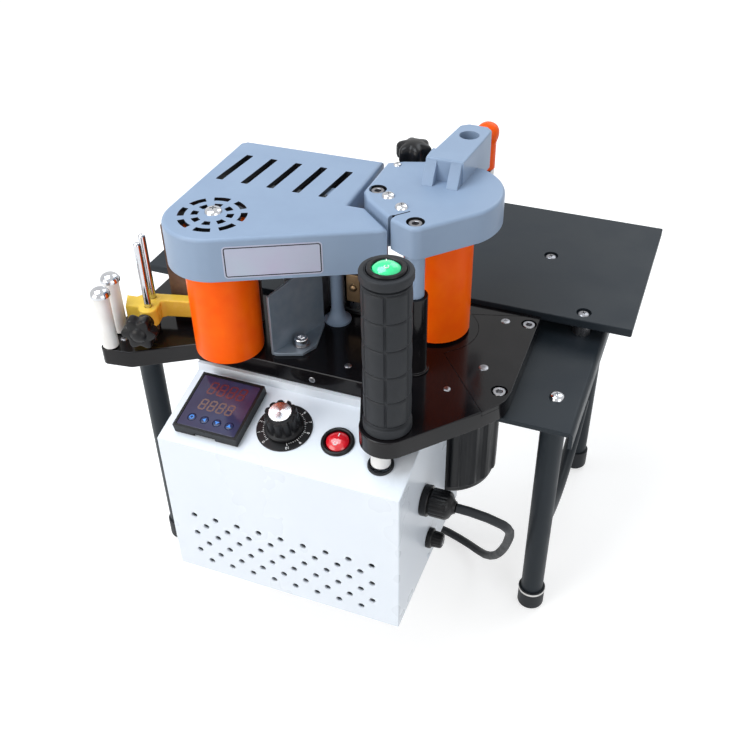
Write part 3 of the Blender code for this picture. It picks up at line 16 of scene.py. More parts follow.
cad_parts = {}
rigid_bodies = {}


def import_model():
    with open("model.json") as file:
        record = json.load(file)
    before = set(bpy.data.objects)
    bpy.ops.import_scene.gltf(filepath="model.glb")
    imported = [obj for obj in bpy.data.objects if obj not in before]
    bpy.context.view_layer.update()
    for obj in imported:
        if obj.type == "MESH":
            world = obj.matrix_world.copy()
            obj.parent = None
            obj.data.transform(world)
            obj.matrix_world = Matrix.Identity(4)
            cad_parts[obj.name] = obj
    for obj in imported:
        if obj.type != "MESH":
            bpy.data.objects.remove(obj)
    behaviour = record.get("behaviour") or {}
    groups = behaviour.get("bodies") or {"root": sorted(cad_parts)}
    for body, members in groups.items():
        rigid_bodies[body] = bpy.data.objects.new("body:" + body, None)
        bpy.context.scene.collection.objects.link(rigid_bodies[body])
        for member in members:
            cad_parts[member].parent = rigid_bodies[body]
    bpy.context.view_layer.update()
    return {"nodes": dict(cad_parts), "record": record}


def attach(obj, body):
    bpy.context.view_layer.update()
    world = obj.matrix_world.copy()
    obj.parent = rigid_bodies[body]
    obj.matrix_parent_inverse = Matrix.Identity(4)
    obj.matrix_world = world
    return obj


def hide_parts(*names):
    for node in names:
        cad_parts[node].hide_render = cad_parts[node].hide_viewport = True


for start_object in list(bpy.data.objects):
    bpy.data.objects.remove(start_object, do_unlink=True)

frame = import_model()
NODES = frame["nodes"]
print("frame nodes:", len(NODES))

# %% [markdown]
# ## Lengths
# A maker thinks in millimetres from the control box: X to the right, Y to the back and Z up from
# the floor, with zero at the box's front right edge. One function turns such a place into the
# frame's metres. The other way would be to write every number in metres, which is hard to check.

# %% From the machine's millimetres to metres
MM = 0.001
BOX_TO_MIDDLE = (76.5, -168.5)


def at(x, y, z):
    return Vector(((x + BOX_TO_MIDDLE[0]) * MM, (y + BOX_TO_MIDDLE[1]) * MM, z * MM))


def turn_by(degrees, axis):
    return Matrix.Rotation(math.radians(degrees), 4, axis)


FLOOR_FRAME = Matrix.Translation(at(0, 0, 0))
print("zero of the machine in the frame:", tuple(round(c, 4) for c in at(0, 0, 0)))

# %% [markdown]
# ## The camera
# It looks down on the machine from the right front corner. A long lens close to the object keeps
# the upright edges nearly parallel. The three turns are yaw about the upright axis, the downward
# pitch, and a small roll.

# %% Camera
LENS_MM = 46.294
CAMERA_PLACE = (0.222049, -0.573277, 0.635597)
CAMERA_YAW, CAMERA_PITCH, CAMERA_ROLL = 21.344, 37.927, -0.757

camera_data = bpy.data.cameras.new("camera")
camera_data.sensor_width = 36
camera_data.lens = LENS_MM
camera_data.shift_x = -0.0053
camera_data.shift_y = -0.0062
camera = bpy.data.objects.new("camera", camera_data)
bpy.context.scene.collection.objects.link(camera)
camera.matrix_world = (
    Matrix.Translation(CAMERA_PLACE)
    @ turn_by(CAMERA_YAW, "Z")
    @ Matrix.Rotation(math.radians(90 - CAMERA_PITCH), 4, "X")
    @ turn_by(CAMERA_ROLL, "Z")
)
bpy.context.scene.camera = camera
print("camera looks down by", CAMERA_PITCH, "degrees")

# %% [markdown]
# ## Finishes
# Every finish is a small node tree on one shader. A soft noise lets the colour and the gloss
# drift, a fine noise lifts the surface like spray paint or moulded plastic, and a rounded-edge
# normal finds the edges, where handling wears the colour. Painting an image would also work, but
# nodes stay sharp at any distance and need no file.

# %% The finish maker


def wire_up(tree, start, start_socket, end, end_socket):
    tree.links.new(start.outputs[start_socket], end.inputs[end_socket])


def noise_of(tree, size, detail, place):
    noise = tree.nodes.new("ShaderNodeTexNoise")
    noise.inputs["Scale"].default_value = 1 / (size * MM)
    noise.inputs["Detail"].default_value = detail
    wire_up(tree, place, "Object", noise, "Vector")
    return noise


def span(tree, noise, low, high, from_low=0.3, from_high=0.7):
    """Stretches a noise between two values."""
    reach = tree.nodes.new("ShaderNodeMapRange")
    reach.inputs["From Min"].default_value = from_low
    reach.inputs["From Max"].default_value = from_high
    reach.inputs["To Min"].default_value = low
    reach.inputs["To Max"].default_value = high
    wire_up(tree, noise, "Fac" if "Fac" in noise.outputs else "Value", reach, "Value")
    return reach


def edge_finder(tree, width):
    """One on sharp edges and zero on flat faces, from a normal that is rounded over the edge."""
    round_normal = tree.nodes.new("ShaderNodeBevel")
    round_normal.samples = 4
    round_normal.inputs["Radius"].default_value = width * MM
    flat = tree.nodes.new("ShaderNodeNewGeometry")
    dot = tree.nodes.new("ShaderNodeVectorMath")
    dot.operation = "DOT_PRODUCT"
    wire_up(tree, round_normal, "Normal", dot, 0)
    wire_up(tree, flat, "Normal", dot, 1)
    edge = tree.nodes.new("ShaderNodeMapRange")
    for socket, value in (("From Min", 0.97), ("From Max", 0.85), ("To Min", 0.0), ("To Max", 1.0)):
        edge.inputs[socket].default_value = value
    wire_up(tree, dot, "Value", edge, "Value")
    return edge


def mixed(tree, factor, factor_socket, first, second):
    """A colour mix; each colour is a triple or a mix node made before."""
    mix = tree.nodes.new("ShaderNodeMix")
    mix.data_type = "RGBA"
    tree.links.new(factor.outputs[factor_socket], mix.inputs[0])
    for index, colour in ((6, first), (7, second)):
        if isinstance(colour, tuple):
            mix.inputs[index].default_value = (*colour, 1)
        else:
            tree.links.new(colour.outputs[2], mix.inputs[index])
    return mix


def finish(name, colour, shade, rough, grain, lift, patch=30.0, metal=0.0, coat=0.0, worn=None, shine=0.5):
    """Colour drifts to its shade over patches; grain size and lift are millimetres."""
    made = bpy.data.materials.new(name)
    made.use_nodes = True
    tree = made.node_tree
    shader = tree.nodes["Principled BSDF"]
    shader.inputs["Metallic"].default_value = metal
    shader.inputs["Specular IOR Level"].default_value = shine
    shader.inputs["Coat Weight"].default_value = coat
    shader.inputs["Coat Roughness"].default_value = 0.08
    place = tree.nodes.new("ShaderNodeTexCoord")
    drift = noise_of(tree, patch, 3, place)
    tone = mixed(tree, span(tree, drift, 0, 1), "Result", colour, shade)
    if worn:
        speckle = span(tree, noise_of(tree, 2.5, 4, place), 0, 0.85, 0.45, 0.62)
        where = tree.nodes.new("ShaderNodeMath")
        where.operation = "MULTIPLY"
        wire_up(tree, edge_finder(tree, 0.5), "Result", where, 0)
        wire_up(tree, speckle, "Result", where, 1)
        tone = mixed(tree, where, "Value", tone, worn)
    tree.links.new(tone.outputs[2], shader.inputs["Base Color"])
    wire_up(tree, span(tree, drift, rough[0], rough[1]), "Result", shader, "Roughness")
    bump = tree.nodes.new("ShaderNodeBump")
    bump.inputs["Distance"].default_value = lift * MM
    bump.inputs["Strength"].default_value = 1.0
    wire_up(tree, noise_of(tree, grain, 2, place), "Fac", bump, "Height")
    wire_up(tree, bump, "Normal", shader, "Normal")
    return made


# %% [markdown]
# ### Paints
# The base plate is a polished black, the stand and tables a dark slate powder coat, the box a
# cool white, and the covers a hammered blue grey. Worn edges show the lighter primer.

# %% Paints
FINISHES = {}


def add_finish(name, *values, **more):
    """Makes a finish and keeps it under its name."""
    FINISHES[name] = finish(name, *values, **more)


add_finish(
    "black_paint", (0.004, 0.004, 0.005), (0.008, 0.007, 0.008), (0.09, 0.18), 2.2, 0.010,
    worn=(0.07, 0.07, 0.08), shine=0.24
)
add_finish(
    "motor_black", (0.006, 0.007, 0.009), (0.011, 0.012, 0.014), (0.32, 0.45), 0.8, 0.02,
    worn=(0.08, 0.08, 0.09), shine=0.24
)
add_finish(
    "slate_paint", (0.012, 0.017, 0.022), (0.016, 0.021, 0.027), (0.36, 0.5), 0.7, 0.02,
    worn=(0.08, 0.09, 0.10), shine=0.18
)
add_finish(
    "white_paint", (0.735, 0.785, 0.85), (0.72, 0.77, 0.84), (0.26, 0.32), 0.9, 0.012, 60,
    worn=(0.62, 0.63, 0.65), shine=0.4
)
add_finish(
    "cover_grey", (0.245, 0.325, 0.45), (0.23, 0.305, 0.425), (0.30, 0.42), 1.1, 0.018,
    worn=(0.36, 0.44, 0.56), shine=0.28
)
add_finish(
    "sheet_zinc", (0.26, 0.31, 0.37), (0.20, 0.25, 0.31), (0.28, 0.42), 0.9, 0.012, 12, metal=0.35,
    shine=0.35
)
print("paints:", ", ".join(FINISHES))

# %% [markdown]
# ### Metals
# Bare steel is a little rough and uneven, chrome is nearly a mirror, and cast aluminium has a
# coarse grain. All three are the same shader with its metallic value at one.

# %% Metals
add_finish("steel", (0.30, 0.30, 0.31), (0.22, 0.22, 0.24), (0.22, 0.38), 0.5, 0.01, 8, metal=1.0)
add_finish("bright_steel", (0.60, 0.61, 0.63), (0.50, 0.51, 0.54), (0.06, 0.14), 1.5, 0.004, 8, metal=1.0)
add_finish("cast_aluminium", (0.36, 0.37, 0.39), (0.28, 0.29, 0.31), (0.4, 0.55), 0.6, 0.06, 10, metal=1.0)
add_finish("brass", (0.30, 0.20, 0.11), (0.22, 0.14, 0.08), (0.25, 0.4), 0.6, 0.01, 8, metal=0.9)
print("finishes so far:", len(FINISHES))

# %% [markdown]
# ### Rubber and plastic
# The feed rollers are smooth orange rubber that shines a little. Switch bezels and knobs are fine
# textured black plastic. The grip, feet and lead are matt rubber, and the tape board is a brown
# laminate.

# %% Rubber and plastic
add_finish(
    "orange_rubber", (1.0, 0.135, 0.002), (0.97, 0.105, 0.002), (0.28, 0.38), 1.2, 0.004, 14,
    shine=0.12
)
add_finish("orange_plastic", (0.92, 0.10, 0.004), (0.84, 0.08, 0.003), (0.24, 0.34), 1.5, 0.005, shine=0.15)
add_finish("yellow_plastic", (0.88, 0.60, 0.075), (0.82, 0.53, 0.06), (0.18, 0.3), 2.0, 0.012, 12, shine=0.25)
add_finish(
    "black_plastic", (0.005, 0.005, 0.006), (0.009, 0.009, 0.010), (0.24, 0.36), 0.4, 0.012,
    shine=0.22
)
add_finish(
    "black_rubber", (0.015, 0.017, 0.020), (0.021, 0.023, 0.027), (0.45, 0.6), 0.35, 0.02, 9,
    shine=0.22
)
add_finish("white_plastic", (0.80, 0.79, 0.78), (0.74, 0.73, 0.71), (0.3, 0.42), 0.8, 0.01, 10)
add_finish("phenolic", (0.19, 0.125, 0.098), (0.14, 0.09, 0.07), (0.4, 0.55), 1.6, 0.03, 5, shine=0.3)
add_finish("key_plastic", (0.012, 0.022, 0.075), (0.018, 0.030, 0.095), (0.2, 0.3), 0.5, 0.006, shine=0.3)
print("finishes so far:", len(FINISHES))

# %% [markdown]
# ### Lenses, display and marks
# The rocker lenses are tinted and clear, so they get a coat and a weak painted glow of their own
# colour: painted light that stands for the light they pass. The blue key marks get a weak painted
# glow as well. The display is a smoked window whose tint runs from slate to violet. Digits and
# marks are thin flat pieces.

# %% Lenses, display and marks


# Emission on parts that are no lamp: painted light.
def glow(made, colour, strength):
    shader = made.node_tree.nodes["Principled BSDF"]
    shader.inputs["Emission Color"].default_value = (*colour, 1)
    shader.inputs["Emission Strength"].default_value = strength
    return made


# the rocker lenses glow weakly in their own colour: painted light
FINISHES["red_plastic"] = glow(
    finish(
        "red_plastic", (0.62, 0.008, 0.018), (0.50, 0.006, 0.014), (0.12, 0.2), 1.5, 0.01, 6,
        coat=0.7
    ), (0.8, 0.02, 0.04), 0.12
)
FINISHES["green_plastic"] = glow(
    finish(
        "green_plastic", (0.02, 0.68, 0.26), (0.015, 0.55, 0.20), (0.12, 0.2), 1.5, 0.01, 6,
        coat=0.7
    ), (0.03, 0.9, 0.35), 0.22
)
add_finish(
    "smoked_window", (0.040, 0.042, 0.095), (0.024, 0.012, 0.042), (0.07, 0.12), 3.0, 0.002, 34,
    shine=0.4
)
add_finish("dark_digit", (0.115, 0.016, 0.022), (0.085, 0.012, 0.018), (0.2, 0.3), 1.0, 0.002, 6)
add_finish("pale_digit", (0.13, 0.075, 0.07), (0.11, 0.05, 0.045), (0.2, 0.3), 1.0, 0.002, 6)
# the blue key marks glow weakly: painted glow, with no lamp behind them
FINISHES["blue_mark"] = glow(
    finish("blue_mark", (0.02, 0.19, 0.62), (0.02, 0.16, 0.55), (0.3, 0.4), 1.0, 0.002, 6),
    (0.02, 0.3, 0.9), 0.15
)
add_finish("white_mark", (0.82, 0.82, 0.82), (0.75, 0.75, 0.75), (0.4, 0.5), 1.0, 0.002, 6)
add_finish("label_white", (0.40, 0.45, 0.55), (0.42, 0.41, 0.54), (0.35, 0.45), 1.0, 0.002, 20)
print("finishes:", len(FINISHES))

# %% [markdown]
# ## Tools for shapes
# Turned pieces are made like on a lathe: an outline of radius and height is swept about an axis.
# A shape function may change the radius, which gives flutes, stars and hexagons. Flat pieces are
# outlines pulled up to a thickness with rounded rims. Holes are cut with Booleans.

# %% Rounded outlines


def arc(centre, radius, start, end, steps):
    angles = [math.radians(start + (end - start) * i / steps) for i in range(steps + 1)]
    return [(centre[0] + radius * math.cos(a), centre[1] + radius * math.sin(a)) for a in angles]


def circle(centre, radius, sides=48):
    return arc(centre, radius, 0, 360 - 360 / sides, sides - 1)


def rounded(corners, steps=6):
    """Rounds corners given as (x, y, radius)."""
    ring = []
    for i, (x, y, radius) in enumerate(corners):
        here = Vector((x, y))
        if radius == 0:
            ring.append((x, y))
            continue
        before = (Vector(corners[i - 1][:2]) - here).normalized()
        after = (Vector(corners[(i + 1) % len(corners)][:2]) - here).normalized()
        half = before.angle(after) / 2
        centre = here + (before + after).normalized() * (radius / math.sin(half))
        first = here + before * (radius / math.tan(half)) - centre
        last = here + after * (radius / math.tan(half)) - centre
        sweep = first.angle_signed(last)
        for step in range(steps + 1):
            spot = centre + Matrix.Rotation(-sweep * step / steps, 2) @ first
            ring.append((spot.x, spot.y))
    return ring


def offset(ring, distance):
    """Grows an outline, or shrinks it where the distance is negative."""
    spots = [Vector(point) for point in ring]
    count = len(spots)
    area = sum(spots[i - 1].cross(spots[i]) for i in range(count))
    side = distance if area > 0 else -distance
    grown = []
    for i in range(count):
        before = (spots[i] - spots[i - 1]).normalized()
        after = (spots[(i + 1) % count] - spots[i]).normalized()
        first = Vector((before.y, -before.x))
        second = Vector((after.y, -after.x))
        corner = spots[i] + (first + second) * (side / (1 + first.dot(second)))
        grown.append((corner.x, corner.y))
    return grown


print("a rounded square has", len(rounded([(0, 0, 1), (9, 0, 1), (9, 9, 1), (0, 9, 1)])), "points")

# %% [markdown]
# ## Putting a piece in the scene
# Each piece gets its finish, smooth shading that stops at real corners, and the body that it
# rides on. Normals weighted by face size keep the large flats flat beside their rounded rims.

# %% Objects, shading and fitting


def object_of(name, shape, matrix):
    mesh = bpy.data.meshes.new(name)
    bmesh.ops.recalc_face_normals(shape, faces=shape.faces)
    shape.to_mesh(mesh)
    shape.free()
    mesh.transform(matrix)
    made = bpy.data.objects.new(name, mesh)
    bpy.context.scene.collection.objects.link(made)
    return made


def shaded(piece, degrees=38):
    piece.data.shade_smooth()
    piece.data.set_sharp_from_angle(angle=math.radians(degrees))
    weigh = piece.modifiers.new("flat faces stay flat", "WEIGHTED_NORMAL")
    weigh.keep_sharp = True
    return piece


def fit(piece, look, body="frame", stands_for=()):
    """Finish, shading, body and the frame nodes that the piece stands for."""
    piece.data.materials.clear()
    piece.data.materials.append(FINISHES[look])
    if piece.type == "MESH":
        shaded(piece)
    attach(piece, body)
    if stands_for:
        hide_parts(*stands_for)
    return piece


# %% [markdown]
# ## The lathe
# Rings of points are made for each outline point and joined with faces. An outline that doesn't
# touch the axis closes on itself, which gives a tube. The Screw modifier can do the same, but it
# can't flute a knob on the way.

# %% Turned pieces


def turned(name, outline, place=None, matrix=None, steps=64, shape=None, dip=None):
    """Turns (radius, height) points about the upright axis. shape changes a radius, dip a height."""
    mesh = bmesh.new()
    rings = []
    for radius, height in outline:
        count = steps if radius > 0 else 1
        ring = []
        for i in range(count):
            angle = 2 * math.pi * i / steps
            reach = shape(angle, radius, height) if shape and radius > 0 else radius
            x, y = reach * math.cos(angle), reach * math.sin(angle)
            z = height + (dip(x, y, height) if dip else 0)
            ring.append(mesh.verts.new((x * MM, y * MM, z * MM)))
        rings.append(ring)
    pairs = list(zip(rings, rings[1:]))
    if outline[0][0] > 0 and outline[-1][0] > 0:
        pairs.append((rings[-1], rings[0]))
    for low, high in pairs:
        for i in range(steps):
            j = (i + 1) % steps
            corners = [low[i % len(low)], low[j % len(low)], high[j % len(high)], high[i % len(high)]]
            corners = list(dict.fromkeys(corners))
            if len(corners) > 2:
                mesh.faces.new(corners)
    if matrix is None:
        matrix = Matrix.Translation(place)
    return object_of(name, mesh, matrix)


def eased(outline, reach=0.6, steps=3):
    """Rounds every inner corner of a lathe outline by a short arc."""
    made = [outline[0]]
    for before, here, after in zip(outline, outline[1:], outline[2:]):
        spot = Vector(here)
        first = Vector(before) - spot
        second = Vector(after) - spot
        cut = min(reach, first.length * 0.45, second.length * 0.45)
        start = spot + first.normalized() * cut
        end = spot + second.normalized() * cut
        for step in range(steps + 1):
            t = step / steps
            point = start * (1 - t) ** 2 + spot * 2 * t * (1 - t) + end * t**2
            made.append((point.x, point.y))
    return [*made, outline[-1]]


def hexagon(limit):
    """A shape function that makes every ring inside the limit a hexagon."""

    def change(angle, radius, height):
        if radius > limit:
            return radius
        sixth = math.radians(60)
        return radius * math.cos(sixth / 2) / math.cos((angle % sixth) - sixth / 2)

    return change


print("an eased outline has", len(eased([(0, 1), (2, 1), (2, 0), (0, 0)])), "points")

# %% [markdown]
# ## Flat pieces
# An outline becomes a face, the face is pulled up, and its rims are rounded. The same tool makes
# the cutters. A list of holes is subtracted with exact Booleans in one go.

# %% Slabs and cuts


def slab(name, ring, low, high, top=0.0, bottom=0.0, matrix=FLOOR_FRAME, segments=3):
    """A flat piece between two heights, with its rims rounded by top and bottom."""
    shape = bmesh.new()
    base = shape.faces.new([shape.verts.new((x * MM, y * MM, low * MM)) for x, y in ring])
    pulled = bmesh.ops.extrude_face_region(shape, geom=[base])
    risen = [item for item in pulled["geom"] if isinstance(item, bmesh.types.BMVert)]
    bmesh.ops.translate(shape, verts=risen, vec=(0, 0, (high - low) * MM))
    bmesh.ops.recalc_face_normals(shape, faces=shape.faces)
    for width, level in ((top, high), (bottom, low)):
        if width:
            rim = [e for e in shape.edges if all(abs(v.co.z - level * MM) < 1e-7 for v in e.verts)]
            bmesh.ops.bevel(
                shape, geom=rim, offset=width * MM, segments=segments, profile=0.5, affect="EDGES"
            )
    return object_of(name, shape, matrix)


def merged(name, pieces):
    """Several pieces in one mesh."""
    shape = bmesh.new()
    for piece in pieces:
        shape.from_mesh(piece.data)
        bpy.data.objects.remove(piece, do_unlink=True)
    mesh = bpy.data.meshes.new(name)
    shape.to_mesh(mesh)
    shape.free()
    made = bpy.data.objects.new(name, mesh)
    bpy.context.scene.collection.objects.link(made)
    return made


def worked(piece, tools, operation="DIFFERENCE"):
    """Cuts the tools from a piece, or joins them to it, and keeps the result."""
    for tool in tools:
        step = piece.modifiers.new("work", "BOOLEAN")
        step.operation = operation
        step.solver = "EXACT"
        step.object = tool
    bpy.context.view_layer.update()
    graph = bpy.context.evaluated_depsgraph_get()
    mesh = bpy.data.meshes.new_from_object(piece.evaluated_get(graph))
    piece.modifiers.clear()
    piece.data = mesh
    for tool in tools:
        bpy.data.objects.remove(tool, do_unlink=True)
    return piece


def drum(centre, radius, low, high, matrix=FLOOR_FRAME, sides=48):
    return slab("tool", circle(centre, radius, sides), low, high, matrix=matrix)


print("slab and cutting tools are ready")

# %% [markdown]
# ## Keeping a frame node's own shape
# Some measured nodes already have the right shape and only lack soft rims. A copy is welded, its
# flat faces are joined, and its sharp edges get a small round. This is quicker than modelling
# them again, and it stays true to the frame.

# %% Refined copies of frame nodes


def refined(node, look, body="frame", rim=0.5, name=None):
    shape = bmesh.new()
    shape.from_mesh(NODES[node].data)
    bmesh.ops.remove_doubles(shape, verts=shape.verts, dist=1e-6)
    bmesh.ops.dissolve_limit(shape, angle_limit=math.radians(1), verts=shape.verts, edges=shape.edges)
    if rim:
        sharp = [e for e in shape.edges if len(e.link_faces) == 2 and e.calc_face_angle(0) > math.radians(40)]
        bmesh.ops.bevel(
            shape, geom=sharp, offset=rim * MM, segments=2, profile=0.5, affect="EDGES",
            clamp_overlap=True
        )
    piece = object_of(name or f"{node}_piece", shape, Matrix.Identity(4))
    return fit(piece, look, body, [node])


print("refined() copies a node and rounds its edges")

# %% [markdown]
# ## Floor and light
# The floor is pale and shows white to the camera, but it keeps the shadow, because part of its
# white is plain diffuse paint that needs light. Large soft lamps and an even sky light the
# machine from all sides, as a workshop with a white ceiling does. Upper lamps are a little cool and
# the low front one a little warm, so that the painted sides don't all turn blue.

# %% Floor


def seen_white(tree, strength):
    """A white glow that only the camera, mirrors and glass see."""
    path = tree.nodes.new("ShaderNodeLightPath")
    seen = tree.nodes.new("ShaderNodeMath")
    seen.operation = "MAXIMUM"
    wire_up(tree, path, "Is Camera Ray", seen, 0)
    mirrored = tree.nodes.new("ShaderNodeMath")
    mirrored.operation = "MAXIMUM"
    wire_up(tree, path, "Is Glossy Ray", mirrored, 0)
    wire_up(tree, path, "Is Transmission Ray", mirrored, 1)
    wire_up(tree, mirrored, "Value", seen, 1)
    scaled = tree.nodes.new("ShaderNodeMath")
    scaled.operation = "MULTIPLY"
    scaled.inputs[1].default_value = strength
    wire_up(tree, seen, "Value", scaled, 0)
    return scaled


floor_look = bpy.data.materials.new("floor")
floor_look.use_nodes = True
tree = floor_look.node_tree
paint = tree.nodes["Principled BSDF"]
paint.inputs["Base Color"].default_value = (0.62, 0.62, 0.62, 1)
paint.inputs["Roughness"].default_value = 0.9
paint.inputs["Specular IOR Level"].default_value = 0.0
paint.inputs["Emission Color"].default_value = (1, 1, 1, 1)
tree.links.new(seen_white(tree, 0.60).outputs["Value"], paint.inputs["Emission Strength"])
floor = slab("floor", [(-6000, -6000), (6000, -6000), (6000, 6000), (-6000, 6000)], -10, -0.2)
floor.data.materials.append(floor_look)
print("floor laid")

# %% Sky and lamps
world = bpy.data.worlds.new("tent")
bpy.context.scene.world = world
world.use_nodes = True
sky = world.node_tree.nodes["Background"]
sky.inputs["Color"].default_value = (1, 1, 1, 1)
lit = world.node_tree.nodes.new("ShaderNodeMath")
lit.operation = "MAXIMUM"
lit.inputs[1].default_value = 0.42
world.node_tree.links.new(seen_white(world.node_tree, 1.0).outputs["Value"], lit.inputs[0])
world.node_tree.links.new(lit.outputs["Value"], sky.inputs["Strength"])

COOL, WARM, PLAIN = (0.87, 0.94, 1.0), (1.0, 0.96, 0.90), (0.96, 0.98, 1.0)
LAMPS = {
    "key": ((-0.55, -0.35, 1.7), 1.1, 22.0, COOL),
    "fill": ((-0.8, -1.3, 0.7), 1.0, 12.0, WARM),
    "right": ((1.2, -0.9, 0.6), 1.0, 6.0, PLAIN),
    "rear": ((0.4, 1.1, 1.4), 1.0, 7.0, COOL),
}
for lamp_name, (place, size, watts, tint) in LAMPS.items():
    lamp = bpy.data.lights.new(lamp_name, "AREA")
    lamp.size = size
    lamp.energy = watts
    lamp.color = tint
    holder = bpy.data.objects.new(lamp_name, lamp)
    bpy.context.scene.collection.objects.link(holder)
    aim = Vector((0, 0, 0.2)) - Vector(place)
    holder.matrix_world = Matrix.Translation(place) @ aim.to_track_quat("-Z", "Y").to_matrix().to_4x4()
bpy.context.scene.view_settings.view_transform = "Standard"
print("lamps:", ", ".join(LAMPS))

# %% [markdown]
# ## The power lead
# The lead leaves a gland in the box's right side, bends down under its weight and runs over the
# floor to a neat coil behind the box. A curve with a round section is the real thing's model: one
# smooth line of the right length. The coil has six turns, three side by side in two layers, and
# each turn shifts by one diameter in the same sector, as a wound lead does.

# %% The lead's route
CORD_DIAMETER = 6.8
COIL = (-108.0, 205.0)
TURN_RADII = (44.3, 37.5, 30.7, 30.7, 37.5, 44.3, 44.3)
TURN_HEIGHTS = (3.5, 3.5, 3.5, 10.3, 10.3, 10.3, 17.1)
SHIFT_START = 0.78
POINTS_PER_TURN = 24
PLUG = (-176.0, 160.7)
PLUG_NOSE = 38.0
PLUG_AXIS = 12.5
CORD_ROUTE = (
    (24.6, 49.0, 150.4),
    (34.0, 49.2, 150.0),
    (46.0, 51.5, 146.0),
    (56.0, 58.0, 136.0),
    (59.0, 70.0, 118.0),
    (56.0, 84.0, 94.0),
    (50.0, 99.0, 66.0),
    (41.0, 115.0, 38.0),
    (29.0, 131.0, 17.0),
    (12.0, 146.0, 6.6),
    (-10.0, 156.0, 3.7),
    (-34.0, 160.0, 3.5),
    (-60.0, 160.7, 3.5),
    (-82.0, 160.7, 3.5),
)


def along(route, spacing):
    """Points on a smooth curve through the route."""
    spots = [Vector(point) for point in route]
    spots = [2 * spots[0] - spots[1], *spots, 2 * spots[-1] - spots[-2]]
    points = [spots[1]]
    for i in range(1, len(spots) - 2):
        a, b, c, d = spots[i - 1 : i + 3]
        count = max(1, round((c - b).length / spacing))
        for k in range(1, count + 1):
            t = k / count
            square = (2 * a - 5 * b + 4 * c - d) * t**2
            cube = (3 * b - a - 3 * c + d) * t**3
            points.append(0.5 * (2 * b + (c - a) * t + square + cube))
    return points


def coil_turns():
    points = []
    for step in range(1, 6 * POINTS_PER_TURN):
        turn, part = divmod(step, POINTS_PER_TURN)
        part /= POINTS_PER_TURN
        share = max(0.0, (part - SHIFT_START) / (1 - SHIFT_START))
        share = share * share * (3 - 2 * share)
        radius = TURN_RADII[turn] + (TURN_RADII[turn + 1] - TURN_RADII[turn]) * share
        if turn == 2:
            radius -= 3.2 * math.sin(math.pi * share)
        height = TURN_HEIGHTS[turn] + (TURN_HEIGHTS[turn + 1] - TURN_HEIGHTS[turn]) * share
        angle = math.radians(-90) - 2 * math.pi * part
        points.append(
            Vector((COIL[0] + radius * math.cos(angle), COIL[1] + radius * math.sin(angle), height))
        )
    return points


tail_y = PLUG[1]
nose_x = PLUG[0] + PLUG_NOSE + 0.3
lead_in = along(CORD_ROUTE, 12)
lead_out = [Vector((COIL[0], tail_y, 17.1)), Vector((COIL[0] - 10, tail_y, 16.3))]
lead_out += [Vector((nose_x + 10, tail_y, PLUG_AXIS + 0.9)), Vector((nose_x, tail_y, PLUG_AXIS))]
cord_line = [
    *lead_in, Vector((COIL[0] + 13, tail_y, 3.5)), Vector((COIL[0], tail_y, 3.5)), *coil_turns(),
    *lead_out
]
measured = sum((b - a).length for a, b in zip(cord_line, cord_line[1:])) * MM
print("the lead's line is", round(measured, 3), "m of points", len(cord_line))

# %% The lead, its tie and its plug
cord_curve = bpy.data.curves.new("power_lead", "CURVE")
cord_curve.dimensions = "3D"
cord_curve.bevel_depth = CORD_DIAMETER / 2 * MM
cord_curve.bevel_resolution = 4
cord_curve.use_fill_caps = True
spline = cord_curve.splines.new("POLY")
spline.points.add(len(cord_line) - 1)
for point, spot in zip(spline.points, cord_line):
    point.co = (*at(*spot), 1)
spline.use_smooth = True
lead = bpy.data.objects.new("power_lead", cord_curve)
bpy.context.scene.collection.objects.link(lead)
fit(lead, "black_rubber", "frame", ["power_cord", "power_cord_coil"])

TIE_ANGLE = math.radians(100)
tie_ring = rounded([(-11.0, -7.4, 3), (11.0, -7.4, 3), (11.0, 7.4, 3), (-11.0, 7.4, 3)])
tie_hole = rounded([(-10.3, -6.9, 2.6), (10.3, -6.9, 2.6), (10.3, 6.9, 2.6), (-10.3, 6.9, 2.6)])
tie_place = at(COIL[0] + 37.5 * math.cos(TIE_ANGLE), COIL[1] + 37.5 * math.sin(TIE_ANGLE), 7.4)
across = Matrix.Translation(tie_place) @ Matrix.Rotation(TIE_ANGLE, 4, "Z") @ turn_by(90, "X")
cord_tie = slab("cord_tie", tie_ring, -5, 5, matrix=across)
worked(cord_tie, [slab("tool", tie_hole, -9, 9, matrix=across)])
fit(cord_tie, "black_plastic")
print("lead and tie made")

# %% The plug
plug_ring = rounded([(-19, -18, 7), (13, -22, 7), (19, -14, 5), (19, 14, 5), (13, 22, 7), (-19, 18, 7)])
plug_frame = Matrix.Translation(at(*PLUG, 0))
plug = slab("plug_body", plug_ring, 0.1, 25.0, 3.0, 3.0, plug_frame, 5)
LYING = Matrix.Translation(at(*PLUG, PLUG_AXIS)) @ turn_by(90, "Y")
nose_outline = [
    (0, PLUG_NOSE), (4.4, PLUG_NOSE), (4.9, 34), (4.3, 33.6), (5.1, 30), (4.6, 29.6), (5.7, 26),
    (5.1, 25.6)
]
nose_outline += [(6.4, 22), (5.8, 21.6), (7.4, 17), (0, 17)]
nose = turned("nose", nose_outline, matrix=LYING, steps=32)
worked(plug, [nose], "UNION")
fit(plug, "black_rubber", "frame", ["power_plug"])
pins = []
for side in (-9.5, 9.5):
    pin_frame = Matrix.Translation(at(PLUG[0], PLUG[1] + side, PLUG_AXIS)) @ turn_by(-90, "Y")
    pins.append(
        turned("pin", eased([(0, 17), (2.4, 17), (2.4, 37.8), (0, 38)], 0.9), matrix=pin_frame, steps=32)
    )
fit(merged("plug_pins", pins), "bright_steel")
print("plug made")

# %% [markdown]
# ## Screws
# Round heads with a cross recess and cap screws with a hexagon recess hold most pieces. In the
# frame they are shaped into the pieces that they hold. Here they get their own bright metal. The
# cross is cut with two bars, because a cut keeps its corners sharp.

# %% Two kinds of screw


